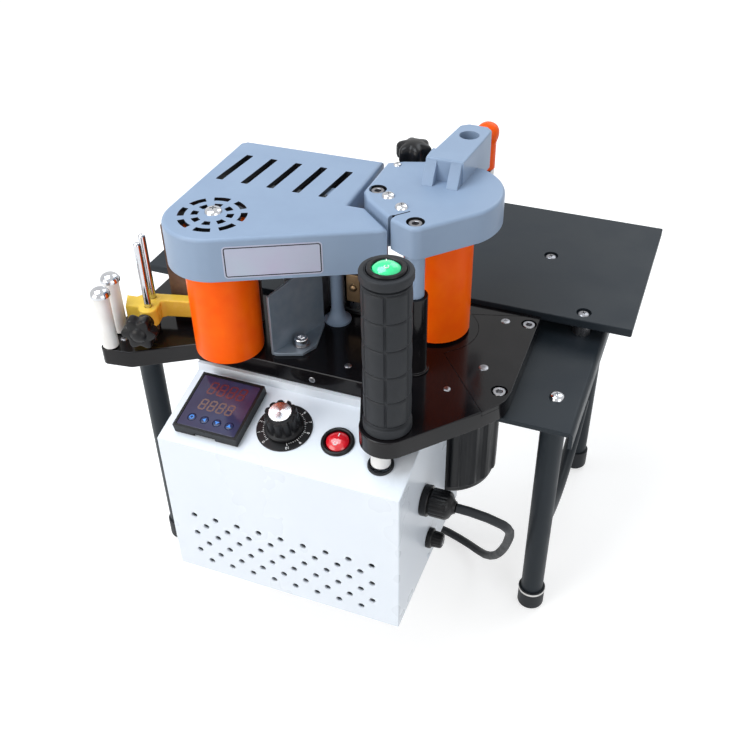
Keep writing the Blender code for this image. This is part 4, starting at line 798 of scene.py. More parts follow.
def cross_screw(name, place, radius, height, look="bright_steel", body="frame", stands_for=()):
    """A domed head whose rim rests at the place."""
    dome = [(0, height)]
    for i in range(1, 13):
        share = i / 12
        dome.append((radius * share, height * math.sqrt(max(0.0, 1 - share**2.4)) + 0.12 * (share < 1)))
    dome += [(radius * 0.92, -0.3), (0, -0.3)]
    head = turned(name, dome, at(*place), steps=48)
    arm, half = radius * 0.38, radius * 0.08
    turn = Matrix.Translation(at(*place)) @ turn_by(25, "Z")
    for wide, deep in ((arm, half), (half, arm)):
        ring = [(-wide, -deep), (wide, -deep), (wide, deep), (-wide, deep)]
        worked(head, [slab("tool", ring, height * 0.45, height + 3, matrix=turn)])
    return fit(head, look, body, stands_for)


def cap_screw(name, place, radius, height, look="steel"):
    """A knurled round head with a hexagon recess; the place is its seat."""

    def knurl(angle, reach, level):
        if reach > radius * 0.96:
            return reach * (1 + 0.012 * math.cos(36 * angle))
        return hexagon(radius * 0.6)(angle, reach, level)

    rim = radius - 0.5
    outline = [
        (0, height - 2.6), (radius * 0.54, height - 2.6), (radius * 0.54, height - 0.2),
        (radius * 0.6, height)
    ]
    outline += [(rim, height), (radius - 0.1, height - 0.5), (radius, height - 0.8), (radius, 0.1), (0, 0.1)]
    return fit(turned(name, outline, at(*place), steps=144, shape=knurl), look)


print("screw makers are ready")

# %% [markdown]
# ## Base plate
# One thick plate carries everything. Its long front edge runs over the box, a lobe at the front
# carries the grip, and the right half holds an inlaid wing. Polished black paint shows the parts
# that stand on it, so the plate is modelled flat and its rims rounded.

# %% Base plate and its wing
PLATE_LOW, PLATE_TOP = 216.0, 229.5
GRIP = (-19.0, 30.0)
LEFT_ROLLER = (-152.8, 70.6)
RIGHT_ROLLER = (-23.7, 143.4)
WING_LOW = PLATE_TOP - 3.0
WING_SOCKETS = ((39.0, 169.2), (39.0, 87.3))
WING_FLATS = ((22.0, 167.1), (22.3, 108.1))

plate_ring = [
    (-241.0, 141.3),
    (-244.0, 70.0),
    *arc((-235.5, 41.5), 5.0, 180, 270, 6),
    (-217.0, 39.0),
    (-178.0, 63.7),
    (-50.5, 63.9),
    *arc(GRIP, 18.5, 186, 318, 36),
    (34.6, 62.6),
    (43.1, 74.0),
    (45.6, 79.6),
    (46.7, 88.9),
    (45.0, 181.4),
    (-149.7, 181.4),
    (-149.7, 141.3),
]
wing_ring = [
    (-8.3, 114.3),
    (34.0, 62.2),
    (34.6, 62.6),
    (43.1, 74.0),
    (45.6, 79.6),
    (46.7, 88.9),
    (45.0, 181.4),
    *arc(RIGHT_ROLLER, 31.0, 50, -50, 32),
]
base = slab("base_plate_piece", plate_ring, PLATE_LOW, PLATE_TOP, 0.9, 0.6)
rebate = slab("tool", offset(wing_ring, 0.25), WING_LOW - 0.3, PLATE_TOP + 4)
holes = [
    drum(place, radius, PLATE_LOW - 4, PLATE_TOP + 4) for place,
    radius in ((RIGHT_ROLLER, 6.5), (LEFT_ROLLER, 5.3), (GRIP, 5.0))
]
worked(base, [rebate, merged("tool", holes)])
fit(base, "black_paint", "frame", ["base_plate"])

wing = slab("wing_plate_piece", wing_ring, WING_LOW, PLATE_TOP, 0.35)
sockets = [drum(place, 5.8, WING_LOW + 0.8, PLATE_TOP + 4) for place in WING_SOCKETS]
worked(wing, [merged("tool", sockets)])
fit(wing, "black_paint", "frame", ["wing_plate"])
print("base plate is", PLATE_TOP - PLATE_LOW, "mm thick")

# %% Screws and dowels in the plate
for number, place in enumerate(WING_SOCKETS):
    cap_screw(f"wing_cap_screw_{number}", (*place, WING_LOW + 0.8), 4.6, 2.0)
for number, place in enumerate(WING_FLATS):
    cross_screw(f"wing_flat_screw_{number}", (*place, PLATE_TOP), 3.4, 0.5, "steel")
PLATE_SCREWS = ((5.7, 77.2), (-66.0, 78.0), (-229.0, 52.0))
for number, place in enumerate(PLATE_SCREWS):
    cross_screw(f"plate_screw_{number}", (*place, PLATE_TOP), 2.6, 0.8, "steel")
cross_screw("front_left_leg_bolt", (-231.0, 79.0, PLATE_TOP), 5.4, 3.0, "steel")
FACE_SCREW = Matrix.Translation(at(-87.3, 63.8, 221.8)) @ turn_by(90, "X")
face_screw = turned(
    "face_screw", [(0, 0.5), (1.7, 0.45), (2.3, 0.1), (2.3, -0.3), (0, -0.3)], matrix=FACE_SCREW
)
fit(face_screw, "steel")
print("plate screws:", len(PLATE_SCREWS) + 5)

# %% [markdown]
# ## Control box
# The box is bent from one sheet: front, sloped panel, top and two stepped sides. Its profile is
# pulled sideways, hollowed, and punched with the staggered air holes and the holes for the
# controls. A cube with a shear would be quicker, but it would have no wall at its holes.

# %% Box shell
BOX_WIDTH, BOX_FLOOR, WALL = 177.0, 68.0, 1.5
BOX_FRONT, BOX_RISE, SLOPE_DEPTH = 126.4, 14.8, 61.4
SLOPE = math.atan2(BOX_RISE, SLOPE_DEPTH)
BOX_TOP = PLATE_LOW - 0.3
LEDGE = BOX_FLOOR + 24.0
SIDEWAYS = Matrix.Translation(at(0, 0, 0)) @ Matrix(((0, 0, 1, 0), (1, 0, 0, 0), (0, 1, 0, 0), (0, 0, 0, 1)))
PANEL = Matrix.Translation(at(-BOX_WIDTH, 0, BOX_FLOOR + BOX_FRONT)) @ Matrix.Rotation(SLOPE, 4, "X")
DISPLAY = (10.1, 8.7)
DIAL = (82.6, 32.6)
RED_SWITCH = (122.0, 32.0)
BUSH_HOLE = (155.9, 23.4)


def panel_profile(inset):
    lift = inset / math.cos(SLOPE) - inset * math.tan(SLOPE)
    return [
        (inset, BOX_FLOOR + BOX_FRONT - lift),
        (SLOPE_DEPTH + inset, BOX_FLOOR + BOX_FRONT + BOX_RISE - lift),
        (SLOPE_DEPTH + inset, BOX_TOP - inset),
    ]


outer = [
    (0, BOX_FLOOR), *panel_profile(0), (103.0, BOX_TOP), (103.0, LEDGE), (140.0, LEDGE),
    (140.0, BOX_FLOOR)
]
inner = [(WALL, BOX_FLOOR - 5), *panel_profile(WALL), (170.0, BOX_TOP - WALL), (170.0, BOX_FLOOR - 5)]
shell = slab("control_box_shell", outer, -BOX_WIDTH, 0, 1.1, 1.1, SIDEWAYS)
worked(shell, [slab("tool", inner, -BOX_WIDTH + WALL, -WALL, matrix=SIDEWAYS)])
print("box is", BOX_WIDTH, "mm wide")

# %% Air holes and control holes
FACING_FRONT = turn_by(-90, "X")
air_holes = []
for row in range(6):
    for i in range(9 - row % 2):
        spot = at(-157.5 + 17.2 * i + 8.6 * (row % 2), -3.0, BOX_FLOOR + 57.6 - 9.2 * row)
        air_holes.append(drum((0, 0), 2.4, 0, 8, Matrix.Translation(spot) @ FACING_FRONT, 20))
control_holes = [slab("tool", [(11.5, 10.1), (56.7, 10.1), (56.7, 55.3), (11.5, 55.3)], -6, 6, matrix=PANEL)]
for spot, radius in ((DIAL, 3.8), (RED_SWITCH, 10.2), (BUSH_HOLE, 8.0)):
    control_holes.append(drum(spot, radius, -6, 6, PANEL))
OUT_RIGHT = turn_by(90, "Y")
GLAND, FUSE = (49.0, 150.4), (63.3, 97.0)
for spot, radius in ((GLAND, 7.6), (FUSE, 6.0)):
    control_holes.append(drum((0, 0), radius, -6, 6, Matrix.Translation(at(0, *spot)) @ OUT_RIGHT))
worked(shell, [merged("tool", air_holes), merged("tool", control_holes)])
fit(shell, "white_paint", "frame", ["control_box"])
refined("box_rear_panel", "white_paint", rim=0)
print("air holes:", len(air_holes))

# %% [markdown]
# ## Temperature controller
# A square black case stands on the panel with a smoked window. Behind the window are two rows of
# seven-segment digits, and four round keys with plain marks sit below them. The case keeps the
# frame's shape. Digits are drawn as six-sided strokes, which is how the real segments look.

# %% Case and window
refined("controller_body", "black_plastic", rim=0.45)
KEY_OFFSETS = (10.2, 19.9, 29.4, 38.8)
KEY_LINE = 9.6
WINDOW_LOW, WINDOW_TOP = 6.85, 7.9
window_ring = rounded([(12.1, 10.7, 1), (56.1, 10.7, 1), (56.1, 54.7, 1), (12.1, 54.7, 1)])
window = slab("display_window", window_ring, WINDOW_LOW, WINDOW_TOP, 0.3, matrix=PANEL)
key_spots = [(DISPLAY[0] + step, DISPLAY[1] + KEY_LINE) for step in KEY_OFFSETS]
worked(window, [merged("tool", [drum(spot, 3.2, 5, 10, PANEL) for spot in key_spots])])
fit(window, "smoked_window")
print("window is", round(WINDOW_TOP - WINDOW_LOW, 2), "mm thick")

# %% Digits


def stroke(start, end, half, low, high):
    """One segment: a bar with pointed ends."""
    a, b = Vector(start), Vector(end)
    way = (b - a).normalized() * half
    side = Vector((-way.y, way.x))
    ring = [a, a + way + side, b - way + side, b, b - way - side, a + way - side]
    return slab("stroke", [tuple(point) for point in ring], low, high, matrix=PANEL)


def digit(corner, wide, tall, half):
    """The seven strokes of one digit, leaning a little to the right."""
    lean = 0.12
    spots = {}
    for name, (x, y) in {
        "a": (0, 0), "b": (1, 0), "c": (0, 1), "d": (1, 1), "e": (0, 2), "f": (1, 2)
    }.items():
        spots[name] = (corner[0] + x * wide + y * tall / 2 * lean, corner[1] + y * tall / 2)
    pairs = ("ab", "cd", "ef", "ac", "ce", "bd", "df")
    return [
        stroke(spots[first], spots[last], half, WINDOW_TOP - 0.2, WINDOW_TOP + 0.06) for first,
        last in pairs
    ]


for row_name, left, low, wide, tall, look in (
    ("upper_digits", 20.6, 40.2, 4.6, 9.6, "dark_digit"),
    ("lower_digits", 20.6, 26.4, 4.2, 8.2, "pale_digit"),
):
    strokes = []
    for i in range(4):
        strokes += digit((left + i * wide * 1.62, low), wide, tall, wide * 0.15)
    fit(merged(row_name, strokes), look)
print("two rows of four digits")

# %% Keys and their marks
KEY_TOP = 8.2
triangle_left = [(-1.5, 0), (1.0, 1.5), (1.0, -1.5)]
triangle_down = [(0, -1.4), (1.7, 1.1), (-1.7, 1.1)]
triangle_up = [(0, 1.5), (1.6, -1.1), (-1.6, -1.1)]
for i, ((u, v), mark) in enumerate(zip(key_spots, (None, triangle_left, triangle_down, triangle_up)), 1):
    where = PANEL @ Matrix.Translation((u * MM, v * MM, 0))
    cap = turned(
        f"key_{i}_cap", eased([(0, KEY_TOP), (2.9, KEY_TOP - 0.1), (2.9, 4.8), (0, 4.8)], 0.5),
        matrix=where, steps=48
    )
    fit(cap, "key_plastic", f"key_{i}", [f"controller_key_{i}"])
    if mark:
        sign = slab(f"key_{i}_mark", mark, KEY_TOP - 0.4, KEY_TOP + 0.05, matrix=where)
    else:
        ring = [(1.7, KEY_TOP + 0.05), (1.0, KEY_TOP + 0.05), (1.0, KEY_TOP - 0.4), (1.7, KEY_TOP - 0.4)]
        sign = turned(f"key_{i}_mark", ring, matrix=where, steps=32)
    fit(sign, "blue_mark", f"key_{i}")
print("keys:", len(key_spots))

# %% [markdown]
# ## Speed dial
# A fluted knob with a spun metal cap stands on a black dial plate with white ticks and numbers.
# The flutes come from a shape function on the lathe that fades into a plain skirt. The numbers
# are generic and are made as text, because text gives clean letter shapes without drawing them.

# %% Dial plate
DIAL_FRAME = PANEL @ Matrix.Translation((DIAL[0] * MM, DIAL[1] * MM, 0))
dial_outline = [
    (19.5, 0.9), (19.5, 0.3), (3.5, 0.3), (3.5, -2.3), (8.5, -2.3), (8.5, -11.7), (0, -11.7),
    (0, -5.7), (3.2, -5.7), (3.2, 1.2), (19.2, 1.2)
]
fit(
    turned("dial_plate", dial_outline, matrix=DIAL_FRAME, steps=96), "black_plastic", "frame",
    ["speed_control"]
)
DIAL_START, DIAL_SWEEP = 240.0, -300.0
ticks = []
for i in range(51):
    angle = math.radians(DIAL_START + DIAL_SWEEP * i / 50)
    reach, half = (1.9, 0.20) if i % 5 == 0 else (0.9, 0.14)
    turn = DIAL_FRAME @ Matrix.Rotation(angle, 4, "Z")
    ring = [(14.0, -half), (14.0 + reach, -half), (14.0 + reach, half), (14.0, half)]
    ticks.append(slab("tick", ring, 1.1, 1.24, matrix=turn))
fit(merged("dial_ticks", ticks), "white_mark")
print("ticks:", 51)

# %% Dial numbers


def flat_text(words, size, matrix):
    """Thin letters as a mesh, centred on the matrix."""
    curve = bpy.data.curves.new("words", "FONT")
    curve.body = words
    curve.size = size * MM
    curve.extrude = 0.05 * MM
    curve.align_x = "CENTER"
    curve.align_y = "CENTER"
    maker = bpy.data.objects.new("words", curve)
    bpy.context.scene.collection.objects.link(maker)
    bpy.context.view_layer.update()
    mesh = bpy.data.meshes.new_from_object(maker.evaluated_get(bpy.context.evaluated_depsgraph_get()))
    bpy.data.objects.remove(maker, do_unlink=True)
    mesh.transform(matrix)
    made = bpy.data.objects.new("words", mesh)
    bpy.context.scene.collection.objects.link(made)
    return made


numbers = []
for i in range(11):
    angle = math.radians(DIAL_START + DIAL_SWEEP * i / 10)
    where = DIAL_FRAME @ Matrix.Rotation(angle, 4, "Z") @ Matrix.Translation((17.6 * MM, 0, 1.2 * MM))
    numbers.append(flat_text(str(i), 2.9, where @ turn_by(-90, "Z")))
fit(merged("dial_numbers", numbers), "white_mark")
print("numbers:", len(numbers))

# %% Knob


def scallops(angle, radius, height):
    """Eleven narrow hollows that fade above the skirt and inside the rim."""
    if radius < 9.5 or height < 4.4:
        return radius
    depth = 1.5 * min(1.0, (height - 4.4) / 2.4)
    return radius - depth * (0.5 + 0.5 * math.cos(11 * angle)) ** 2.5


knob_outline = [(0, 17.0), (8.0, 17.0), (8.0, 17.6), (10.7, 17.6), (11.3, 17.0)]
knob_outline += [(11.4 + 0.5 * (1 - h / 17) , h) for h in (16.0, 14.0, 12.0, 10.0, 8.0, 6.5, 5.4, 4.6)]
knob_outline += [
    (12.6, 4.2), (13.4, 3.9), (13.6, 3.6), (13.6, 1.8), (13.4, 1.5), (3.0, 1.5), (3.0, -0.8),
    (0, -0.8)
]
knob = turned("speed_knob_piece", knob_outline, matrix=DIAL_FRAME, steps=160, shape=scallops)
fit(knob, "black_plastic", "speed_knob", ["speed_knob"])
cap_outline = [(0, 19.3)] + [(7.6 * i / 30, 19.3 - 0.25 * (i / 30) ** 2) for i in range(1, 31)]
cap_outline += [(7.9, 18.7), (7.9, 17.0), (0, 17.0)]
knob_cap = turned("speed_knob_cap", cap_outline, matrix=DIAL_FRAME, steps=96)
pointer = slab(
    "speed_knob_pointer", [(-0.65, 8.2), (0.65, 8.2), (0.65, 11.2), (-0.65, 11.2)], 17.3, 17.74,
    matrix=DIAL_FRAME
)
fit(pointer, "white_mark", "speed_knob")
print("knob is", round(19.4 - 1.5, 1), "mm tall")

# %% [markdown]
# The cap is faced on a lathe, so its fine rings stretch a reflection into two bright fans. A
# bump in rings would be too fine for the render to show, so the shader's own anisotropy does it,
# with a tangent that runs round the axis.

# %% Spun cap finish


def spun_metal(name, axis_place, axis):
    made = finish(name, (0.88, 0.88, 0.90), (0.80, 0.80, 0.83), (0.24, 0.3), 1.0, 0.001, 4, metal=1.0)
    tree = made.node_tree
    shader = tree.nodes["Principled BSDF"]
    shader.inputs["Anisotropic"].default_value = 0.85
    place = tree.nodes.new("ShaderNodeNewGeometry")
    arm = tree.nodes.new("ShaderNodeVectorMath")
    arm.operation = "SUBTRACT"
    arm.inputs[1].default_value = axis_place
    wire_up(tree, place, "Position", arm, 0)
    around = tree.nodes.new("ShaderNodeVectorMath")
    around.operation = "CROSS_PRODUCT"
    around.inputs[1].default_value = axis
    wire_up(tree, arm, "Vector", around, 0)
    wire_up(tree, around, "Vector", shader, "Tangent")
    return made


cap_axis = DIAL_FRAME.to_3x3() @ Vector((0, 0, 1))
FINISHES["spun_cap"] = spun_metal("spun_cap", DIAL_FRAME.translation, cap_axis)
fit(knob_cap, "spun_cap", "speed_knob")
print("cap axis leans back by", round(math.degrees(SLOPE), 1), "degrees")

# %% [markdown]
# ## Rocker switches
# The panel has a red rocker in a black bezel, and the grip's top a green one. A rocker is a low
# dome with a crease across its middle, so the height of each ring is lowered away from the
# crease. The line and the ring on it are the plain on and off signs.

# %% Panel rocker


def crease(x, y, height):
    return -0.10 * abs(y) if height > 0.2 else 0.0


SWITCH_FRAME = PANEL @ Matrix.Translation((RED_SWITCH[0] * MM, RED_SWITCH[1] * MM, 0))
bezel_outline = [
    (11.6, 0.3), (11.6, 0.7), (11.2, 1.7), (10.6, 2.2), (9.8, 2.3), (9.0, 2.0), (8.6, 1.4),
    (8.6, -13.7), (0, -13.7), (0, -17.7), (9.9, -17.7), (9.9, 0.3)
]
fit(
    turned("power_switch_ring", bezel_outline, matrix=SWITCH_FRAME, steps=96), "black_plastic",
    "frame", ["power_switch_bezel"]
)


def rocker_outline(radius, crown, deep):
    dome = [(0, crown)]
    for i in range(1, 17):
        share = i / 16
        dome.append((radius * share, crown - (crown - 0.8) * share**3))
    return [*dome, (radius, 0.2), (radius - 0.2, -deep), (0, -deep)]


lens = turned(
    "power_rocker_lens", rocker_outline(7.8, 3.3, 2.5),
    matrix=SWITCH_FRAME @ Matrix.Translation((0, 0, 0.9 * MM)), dip=crease, steps=96
)
fit(lens, "red_plastic", "power_rocker", ["power_switch_rocker"])
ON_SIGN = [(-0.3, 1.9), (0.3, 1.9), (0.3, 4.9), (-0.3, 4.9)]
sign = slab("tool", ON_SIGN, 3.2, 3.9, matrix=SWITCH_FRAME)
off_ring = [(1.5, 3.9), (1.05, 3.9), (1.05, 3.2), (1.5, 3.2)]
off_sign = turned("tool", off_ring, matrix=SWITCH_FRAME @ Matrix.Translation((0, -3.4 * MM, 0)), steps=40)
fit(merged("power_rocker_signs", [sign, off_sign]), "white_mark", "power_rocker")
print("panel rocker radius 7.8 mm")

# %% [markdown]
# ## Grip
# A rubber sleeve with raised pads stands on the plate's lobe. The pads are separated by grooves,
# six upright and four round, and each pad is slightly crowned. A shape function on the lathe
# gives all of them at once, which is cleaner than cutting thirty pads with Booleans.

# %% Grip sleeve
GRIP_LOW, GRIP_TOP = PLATE_TOP + 0.3, 346.0
GRIP_TALL = GRIP_TOP - GRIP_LOW
PAD_LOW, PAD_HIGH = 9.0, GRIP_TALL - 9.6
GRIP_TURN = math.radians(21 - 90 - 5)


def groove(distance, half):
    """One in the middle of a groove and zero past its half width."""
    return max(0.0, 1 - (abs(distance) / half) ** 3)


def pads(angle, radius, height):
    if not PAD_LOW - 0.01 <= height <= PAD_HIGH + 0.01 or radius < 13:
        return radius
    tall = (PAD_HIGH - PAD_LOW) / 5
    up = (height - PAD_LOW) % tall
    up = min(up, tall - up)
    wide = math.radians(60)
    round_way = (angle - GRIP_TURN) % wide
    round_way = min(round_way, wide - round_way) * radius
    deep = max(groove(up, 0.75), groove(round_way, 0.95))
    crown = 0.35 * math.sin(math.pi * min(0.5, up / tall)) * math.sin(math.pi * min(0.5, round_way / 15.7))
    return radius - 0.95 * deep + crown - 0.2


sleeve_outline = [
    (12.4, GRIP_TALL), (12.9, GRIP_TALL), (13.0, GRIP_TALL - 0.5), (13.3, GRIP_TALL),
    (15.4, GRIP_TALL)
]
sleeve_outline += [
    (16.0, GRIP_TALL - 0.4), (16.3, GRIP_TALL - 1.2), (16.3, GRIP_TALL - 5.0),
    (15.9, GRIP_TALL - 5.8)
]
sleeve_outline += [
    (14.0, GRIP_TALL - 6.4), (14.0, GRIP_TALL - 7.6), (15.0, GRIP_TALL - 8.0),
    (15.2, GRIP_TALL - 8.6)
]
steps_up = 150
for i in range(steps_up + 1):
    sleeve_outline.append((15.2, PAD_HIGH - (PAD_HIGH - PAD_LOW) * i / steps_up))
sleeve_outline += [
    (15.2, 8.2), (14.2, 7.4), (15.5, 6.4), (15.8, 5.6), (15.8, 0.6), (15.3, 0), (5, 0), (5, 12),
    (10.6, 16)
]
sleeve_outline += [(10.6, GRIP_TALL - 8), (12.4, GRIP_TALL - 4)]
sleeve = turned("grip_sleeve_piece", sleeve_outline, at(*GRIP, GRIP_LOW), steps=180, shape=pads)
fit(sleeve, "black_rubber", "frame", ["grip_sleeve"])
print("grip is", round(GRIP_TALL, 1), "mm tall")

# %% Grip switch
GRIP_SWITCH = Matrix.Translation(at(*GRIP, GRIP_TOP)) @ turn_by(21, "Z")
grip_bezel = [
    (9.2, 1.4), (9.6, 1.7), (11.2, 1.6), (11.7, 1.0), (11.9, 0.2), (11.9, -3), (10.3, -6),
    (10.3, -17), (0, -17), (0, -15), (8.8, -15), (8.8, 1.0)
]
fit(
    turned("grip_switch_ring", grip_bezel, matrix=GRIP_SWITCH, steps=96), "black_plastic", "frame",
    ["grip_switch_bezel"]
)
green_place = GRIP_SWITCH @ Matrix.Translation((0, 0, 0.2 * MM))
green = turned("grip_rocker_lens", rocker_outline(8.3, 4.0, 3.5), matrix=green_place, dip=crease, steps=96)
fit(green, "green_plastic", "grip_rocker", ["grip_switch_rocker"])
green_on = slab("tool", [(-0.3, 1.9), (0.3, 1.9), (0.3, 4.4), (-0.3, 4.4)], 3.2, 3.85, matrix=GRIP_SWITCH)
green_off = turned("tool", off_ring, matrix=GRIP_SWITCH @ Matrix.Translation((0, -3.4 * MM, 0)), steps=40)
fit(merged("grip_rocker_signs", [green_on, green_off]), "white_mark", "grip_rocker")
print("grip switch made")

# %% [markdown]
# ## Wire bush, gland and fuse
# A white bush leads the grip switch's wires down into the box through a black grommet. The gland
# on the box's right side has a flange, a ribbed nut and a tapered relief of rubber, and the fuse
# holder below it a screwed cap with a metal end. All are lathe work.

# %% Bush, gland and fuse
bush = turned(
    "wire_bush_piece", eased([(6.6, 13.7), (6.6, 0), (4.0, 0), (4.0, 13.7)], 0.5),
    at(-21.0, 22.5, 202.0)
)
fit(bush, "white_plastic", "frame", ["wire_bush"])
grommet = [(8.9, 0.2), (8.9, 0.9), (8.4, 1.5), (7.5, 1.5), (7.0, 0.9), (7.0, -2.4), (7.8, -2.4), (7.8, 0.2)]
fit(
    turned(
        "wire_grommet", grommet,
        matrix=PANEL @ Matrix.Translation((BUSH_HOLE[0] * MM, BUSH_HOLE[1] * MM, 0))
    ),
    "black_rubber"
)

GLAND_FRAME = Matrix.Translation(at(0, *GLAND)) @ OUT_RIGHT
FUSE_FRAME = Matrix.Translation(at(0, *FUSE)) @ OUT_RIGHT


def gland_ribs(angle, radius, height):
    ribbed = radius > 10.0 and 6.2 < height < 18.2
    return radius - 0.35 * max(0.0, math.cos(18 * angle)) if ribbed else radius


gland_outline = [
    (3.7, 24.0), (4.3, 24.0), (5.0, 22.6), (6.3, 21.6), (8.6, 20.4), (9.9, 18.8), (10.2, 17.6),
    (10.2, 7.0)
]
gland_outline += [
    (9.7, 6.3), (8.8, 6.0), (8.8, 5.6), (11.0, 5.4), (11.4, 4.9), (11.4, 0.8), (11.1, 0.3),
    (7.3, 0.3)
]
gland_outline += [(7.3, -1.8), (10.5, -1.8), (10.5, -5.6), (7.3, -5.6), (7.3, -9.0), (3.7, -9.0)]
gland = turned("cable_gland_piece", gland_outline, matrix=GLAND_FRAME, steps=144, shape=gland_ribs)
fit(gland, "black_plastic", "frame", ["cable_gland"])
print("gland and fuse frames:", GLAND, FUSE)

# %% Fuse holder


def fuse_flutes(angle, radius, height):
    fluted = 3.4 < radius < 6.5 and height > 4.0
    return radius - 0.3 * max(0.0, math.cos(16 * angle)) if fluted else radius


fuse_outline = [
    (0, 11.6), (3.3, 11.6), (3.6, 12.0), (5.2, 11.4), (5.8, 10.4), (6.2, 4.4), (7.4, 3.8),
    (7.8, 3.2), (7.8, 0.3), (5.7, 0.3), (5.7, -26), (0, -26)
]
fit(
    turned("fuse_holder_piece", fuse_outline, matrix=FUSE_FRAME, steps=96, shape=fuse_flutes),
    "black_plastic", "frame", ["fuse_holder"]
)
fit(
    turned("fuse_cap_end", eased([(0, 12.1), (3.1, 12.0), (3.1, 11.0), (0, 11.0)], 0.3), matrix=FUSE_FRAME),
    "steel"
)
side_screw = turned(
    "box_side_screw", [(0, 0.9), (1.6, 0.8), (2.3, 0.3), (2.4, -0.2), (0, -0.2)],
    matrix=Matrix.Translation(at(0, 66, 74)) @ OUT_RIGHT
)
fit(side_screw, "white_paint")
print("side pieces made")

# %% [markdown]
# ## Feed rollers and drive
# Each roller is an elastic sleeve on a shaft. The sleeve is turned with a soft rim and a hollow in
# its top. The gears, the shafts and the heater sit under the covers and the plate, so copies of
# the frame's own shapes with soft edges are enough for them.

# %% Rollers
ROLLER_LOW, ROLLER_TALL = 231.5, 92.0
sleeve_shape = [
    (23.2, ROLLER_TALL), (23.8, ROLLER_TALL - 0.2), (24.0, ROLLER_TALL - 0.8), (24.0, 0.8),
    (23.8, 0.2), (23.2, 0)
]
sleeve_shape += [
    (5.3, 0), (5.3, ROLLER_TALL), (10.3, ROLLER_TALL), (10.3, ROLLER_TALL - 4),
    (19.0, ROLLER_TALL - 4), (19.0, ROLLER_TALL)
]
for side, centre, body in (("left", LEFT_ROLLER, "left_roller"), ("right", RIGHT_ROLLER, "drive_roller")):
    roller = turned(f"{side}_roller_sleeve", sleeve_shape, at(*centre, ROLLER_LOW), steps=128)
    fit(roller, "orange_rubber", body, [f"{side}_feed_roller"])
HIDDEN_WORKS = (
    ("drive_shaft", "steel", "drive_roller"),
    ("idler_gear", "steel", "idler_gear"),
    ("glue_roller", "steel", "glue_roller"),
    ("left_roller_axle", "steel", "frame"),
    ("gear_cover", "steel", "frame"),
    ("heater", "steel", "frame"),
    ("glue_pot", "cast_aluminium", "frame"),
    ("rear_lever", "steel", "lever"),
    ("left_bracket", "black_paint", "frame"),
)
for node, look, body in HIDDEN_WORKS:
    refined(node, look, body, rim=0.25)
print("rollers and works:", 2 + len(HIDDEN_WORKS))

# %% [markdown]
# ## Motor
# The gearmotor hangs under the plate. Its gearhead is a smooth band and its can has sixteen broad
# ribs that run down to a rounded end. A shape function presses the ribs only into the can.

# %% Motor
MOTOR = (-9.0, 144.0)
MOTOR_LOW, CAN_TOP, HEAD_TOP = 98.0, 176.0, 213.2


def can_ribs(angle, radius, height):
    if not MOTOR_LOW + 7 < height < CAN_TOP - 1 or radius < 36:
        return radius
    swell = math.cos(16 * angle)
    return radius - 1.6 * (0.5 - 0.5 * max(-1.0, min(1.0, 2.2 * swell)))


motor_outline = [
    (0, HEAD_TOP), (35.6, HEAD_TOP), (36.3, HEAD_TOP - 0.7), (36.3, CAN_TOP + 0.6), (35.4, CAN_TOP),
    (35.4, CAN_TOP - 0.8)
]
motor_outline += [
    (37.0, CAN_TOP - 2.0), (37.0, MOTOR_LOW + 9), (35.3, MOTOR_LOW + 6.8), (34.8, MOTOR_LOW + 6)
]
motor_outline += [
    (34.8, MOTOR_LOW + 4.2), (33.8, MOTOR_LOW + 2), (31.6, MOTOR_LOW + 0.5), (29.4, MOTOR_LOW),
    (0, MOTOR_LOW)
]
motor = turned("gearmotor", motor_outline, at(*MOTOR, 0), steps=192, shape=can_ribs)
worked(motor, [drum(RIGHT_ROLLER, 5.6, HEAD_TOP - 20, HEAD_TOP + 4)])
fit(motor, "motor_black", "frame", ["drive_motor"])
print("motor is", HEAD_TOP - MOTOR_LOW, "mm tall")

# %% [markdown]
# ## Covers
# Two cast covers close the rollers from above. Each is a flat outline pulled up, with a rounded
# top rim, hollowed from below and then drilled. The left one has long vents and a round vent, and
# the right one carries an arm with two ribs, a clamping slit and a rear lug.

# %% Left cover
LEFT_COVER_TOP, LEFT_SKIRT, COVER_WALL = 337.0, 31.0, 3.0
NOSE, NOSE_RADIUS = (-151.6, 67.0), 32.5
left_ring = [
    (-184.1, 169.0), *arc(NOSE, NOSE_RADIUS, 180, 297, 40), (-43.2, 84.2), (-40.2, 87.6),
    (-63.0, 108.6), (-75.2, 108.6), (-75.2, 175.0), (-180.0, 173.0)
]
left_low = LEFT_COVER_TOP - LEFT_SKIRT
left_cover = slab("left_cover_shell", left_ring, left_low, LEFT_COVER_TOP, 2.6, 0.5, segments=5)


def sector(inner, outer, start, end):
    """A curved vent round the nose's centre."""
    return arc(NOSE, outer, start, end, 12) + arc(NOSE, inner, end, start, 12)


def within(spot, ring):
    """Whether a point lies inside an outline."""
    odd = False
    for (ax, ay), (bx, by) in zip(ring, [*ring[1:], ring[0]]):
        if (ay > spot[1]) != (by > spot[1]) and spot[0] < ax + (spot[1] - ay) / (by - ay) * (bx - ax):
            odd = not odd
    return odd


def dark_inside(cover, ring, top):
    """Painted shade: the faces in the cover's hollow get a near-black finish for the shade inside it."""
    cover.data.materials.append(FINISHES["motor_black"])
    hollow = offset(ring, -2.8)
    for face in cover.data.polygons:
        spot = face.center / MM
        place = (spot.x - BOX_TO_MIDDLE[0], spot.y - BOX_TO_MIDDLE[1])
        if spot.z < top - 0.4 and within(place, hollow):
            # inner faces take the near-black finish: painted shade
            face.material_index = 1


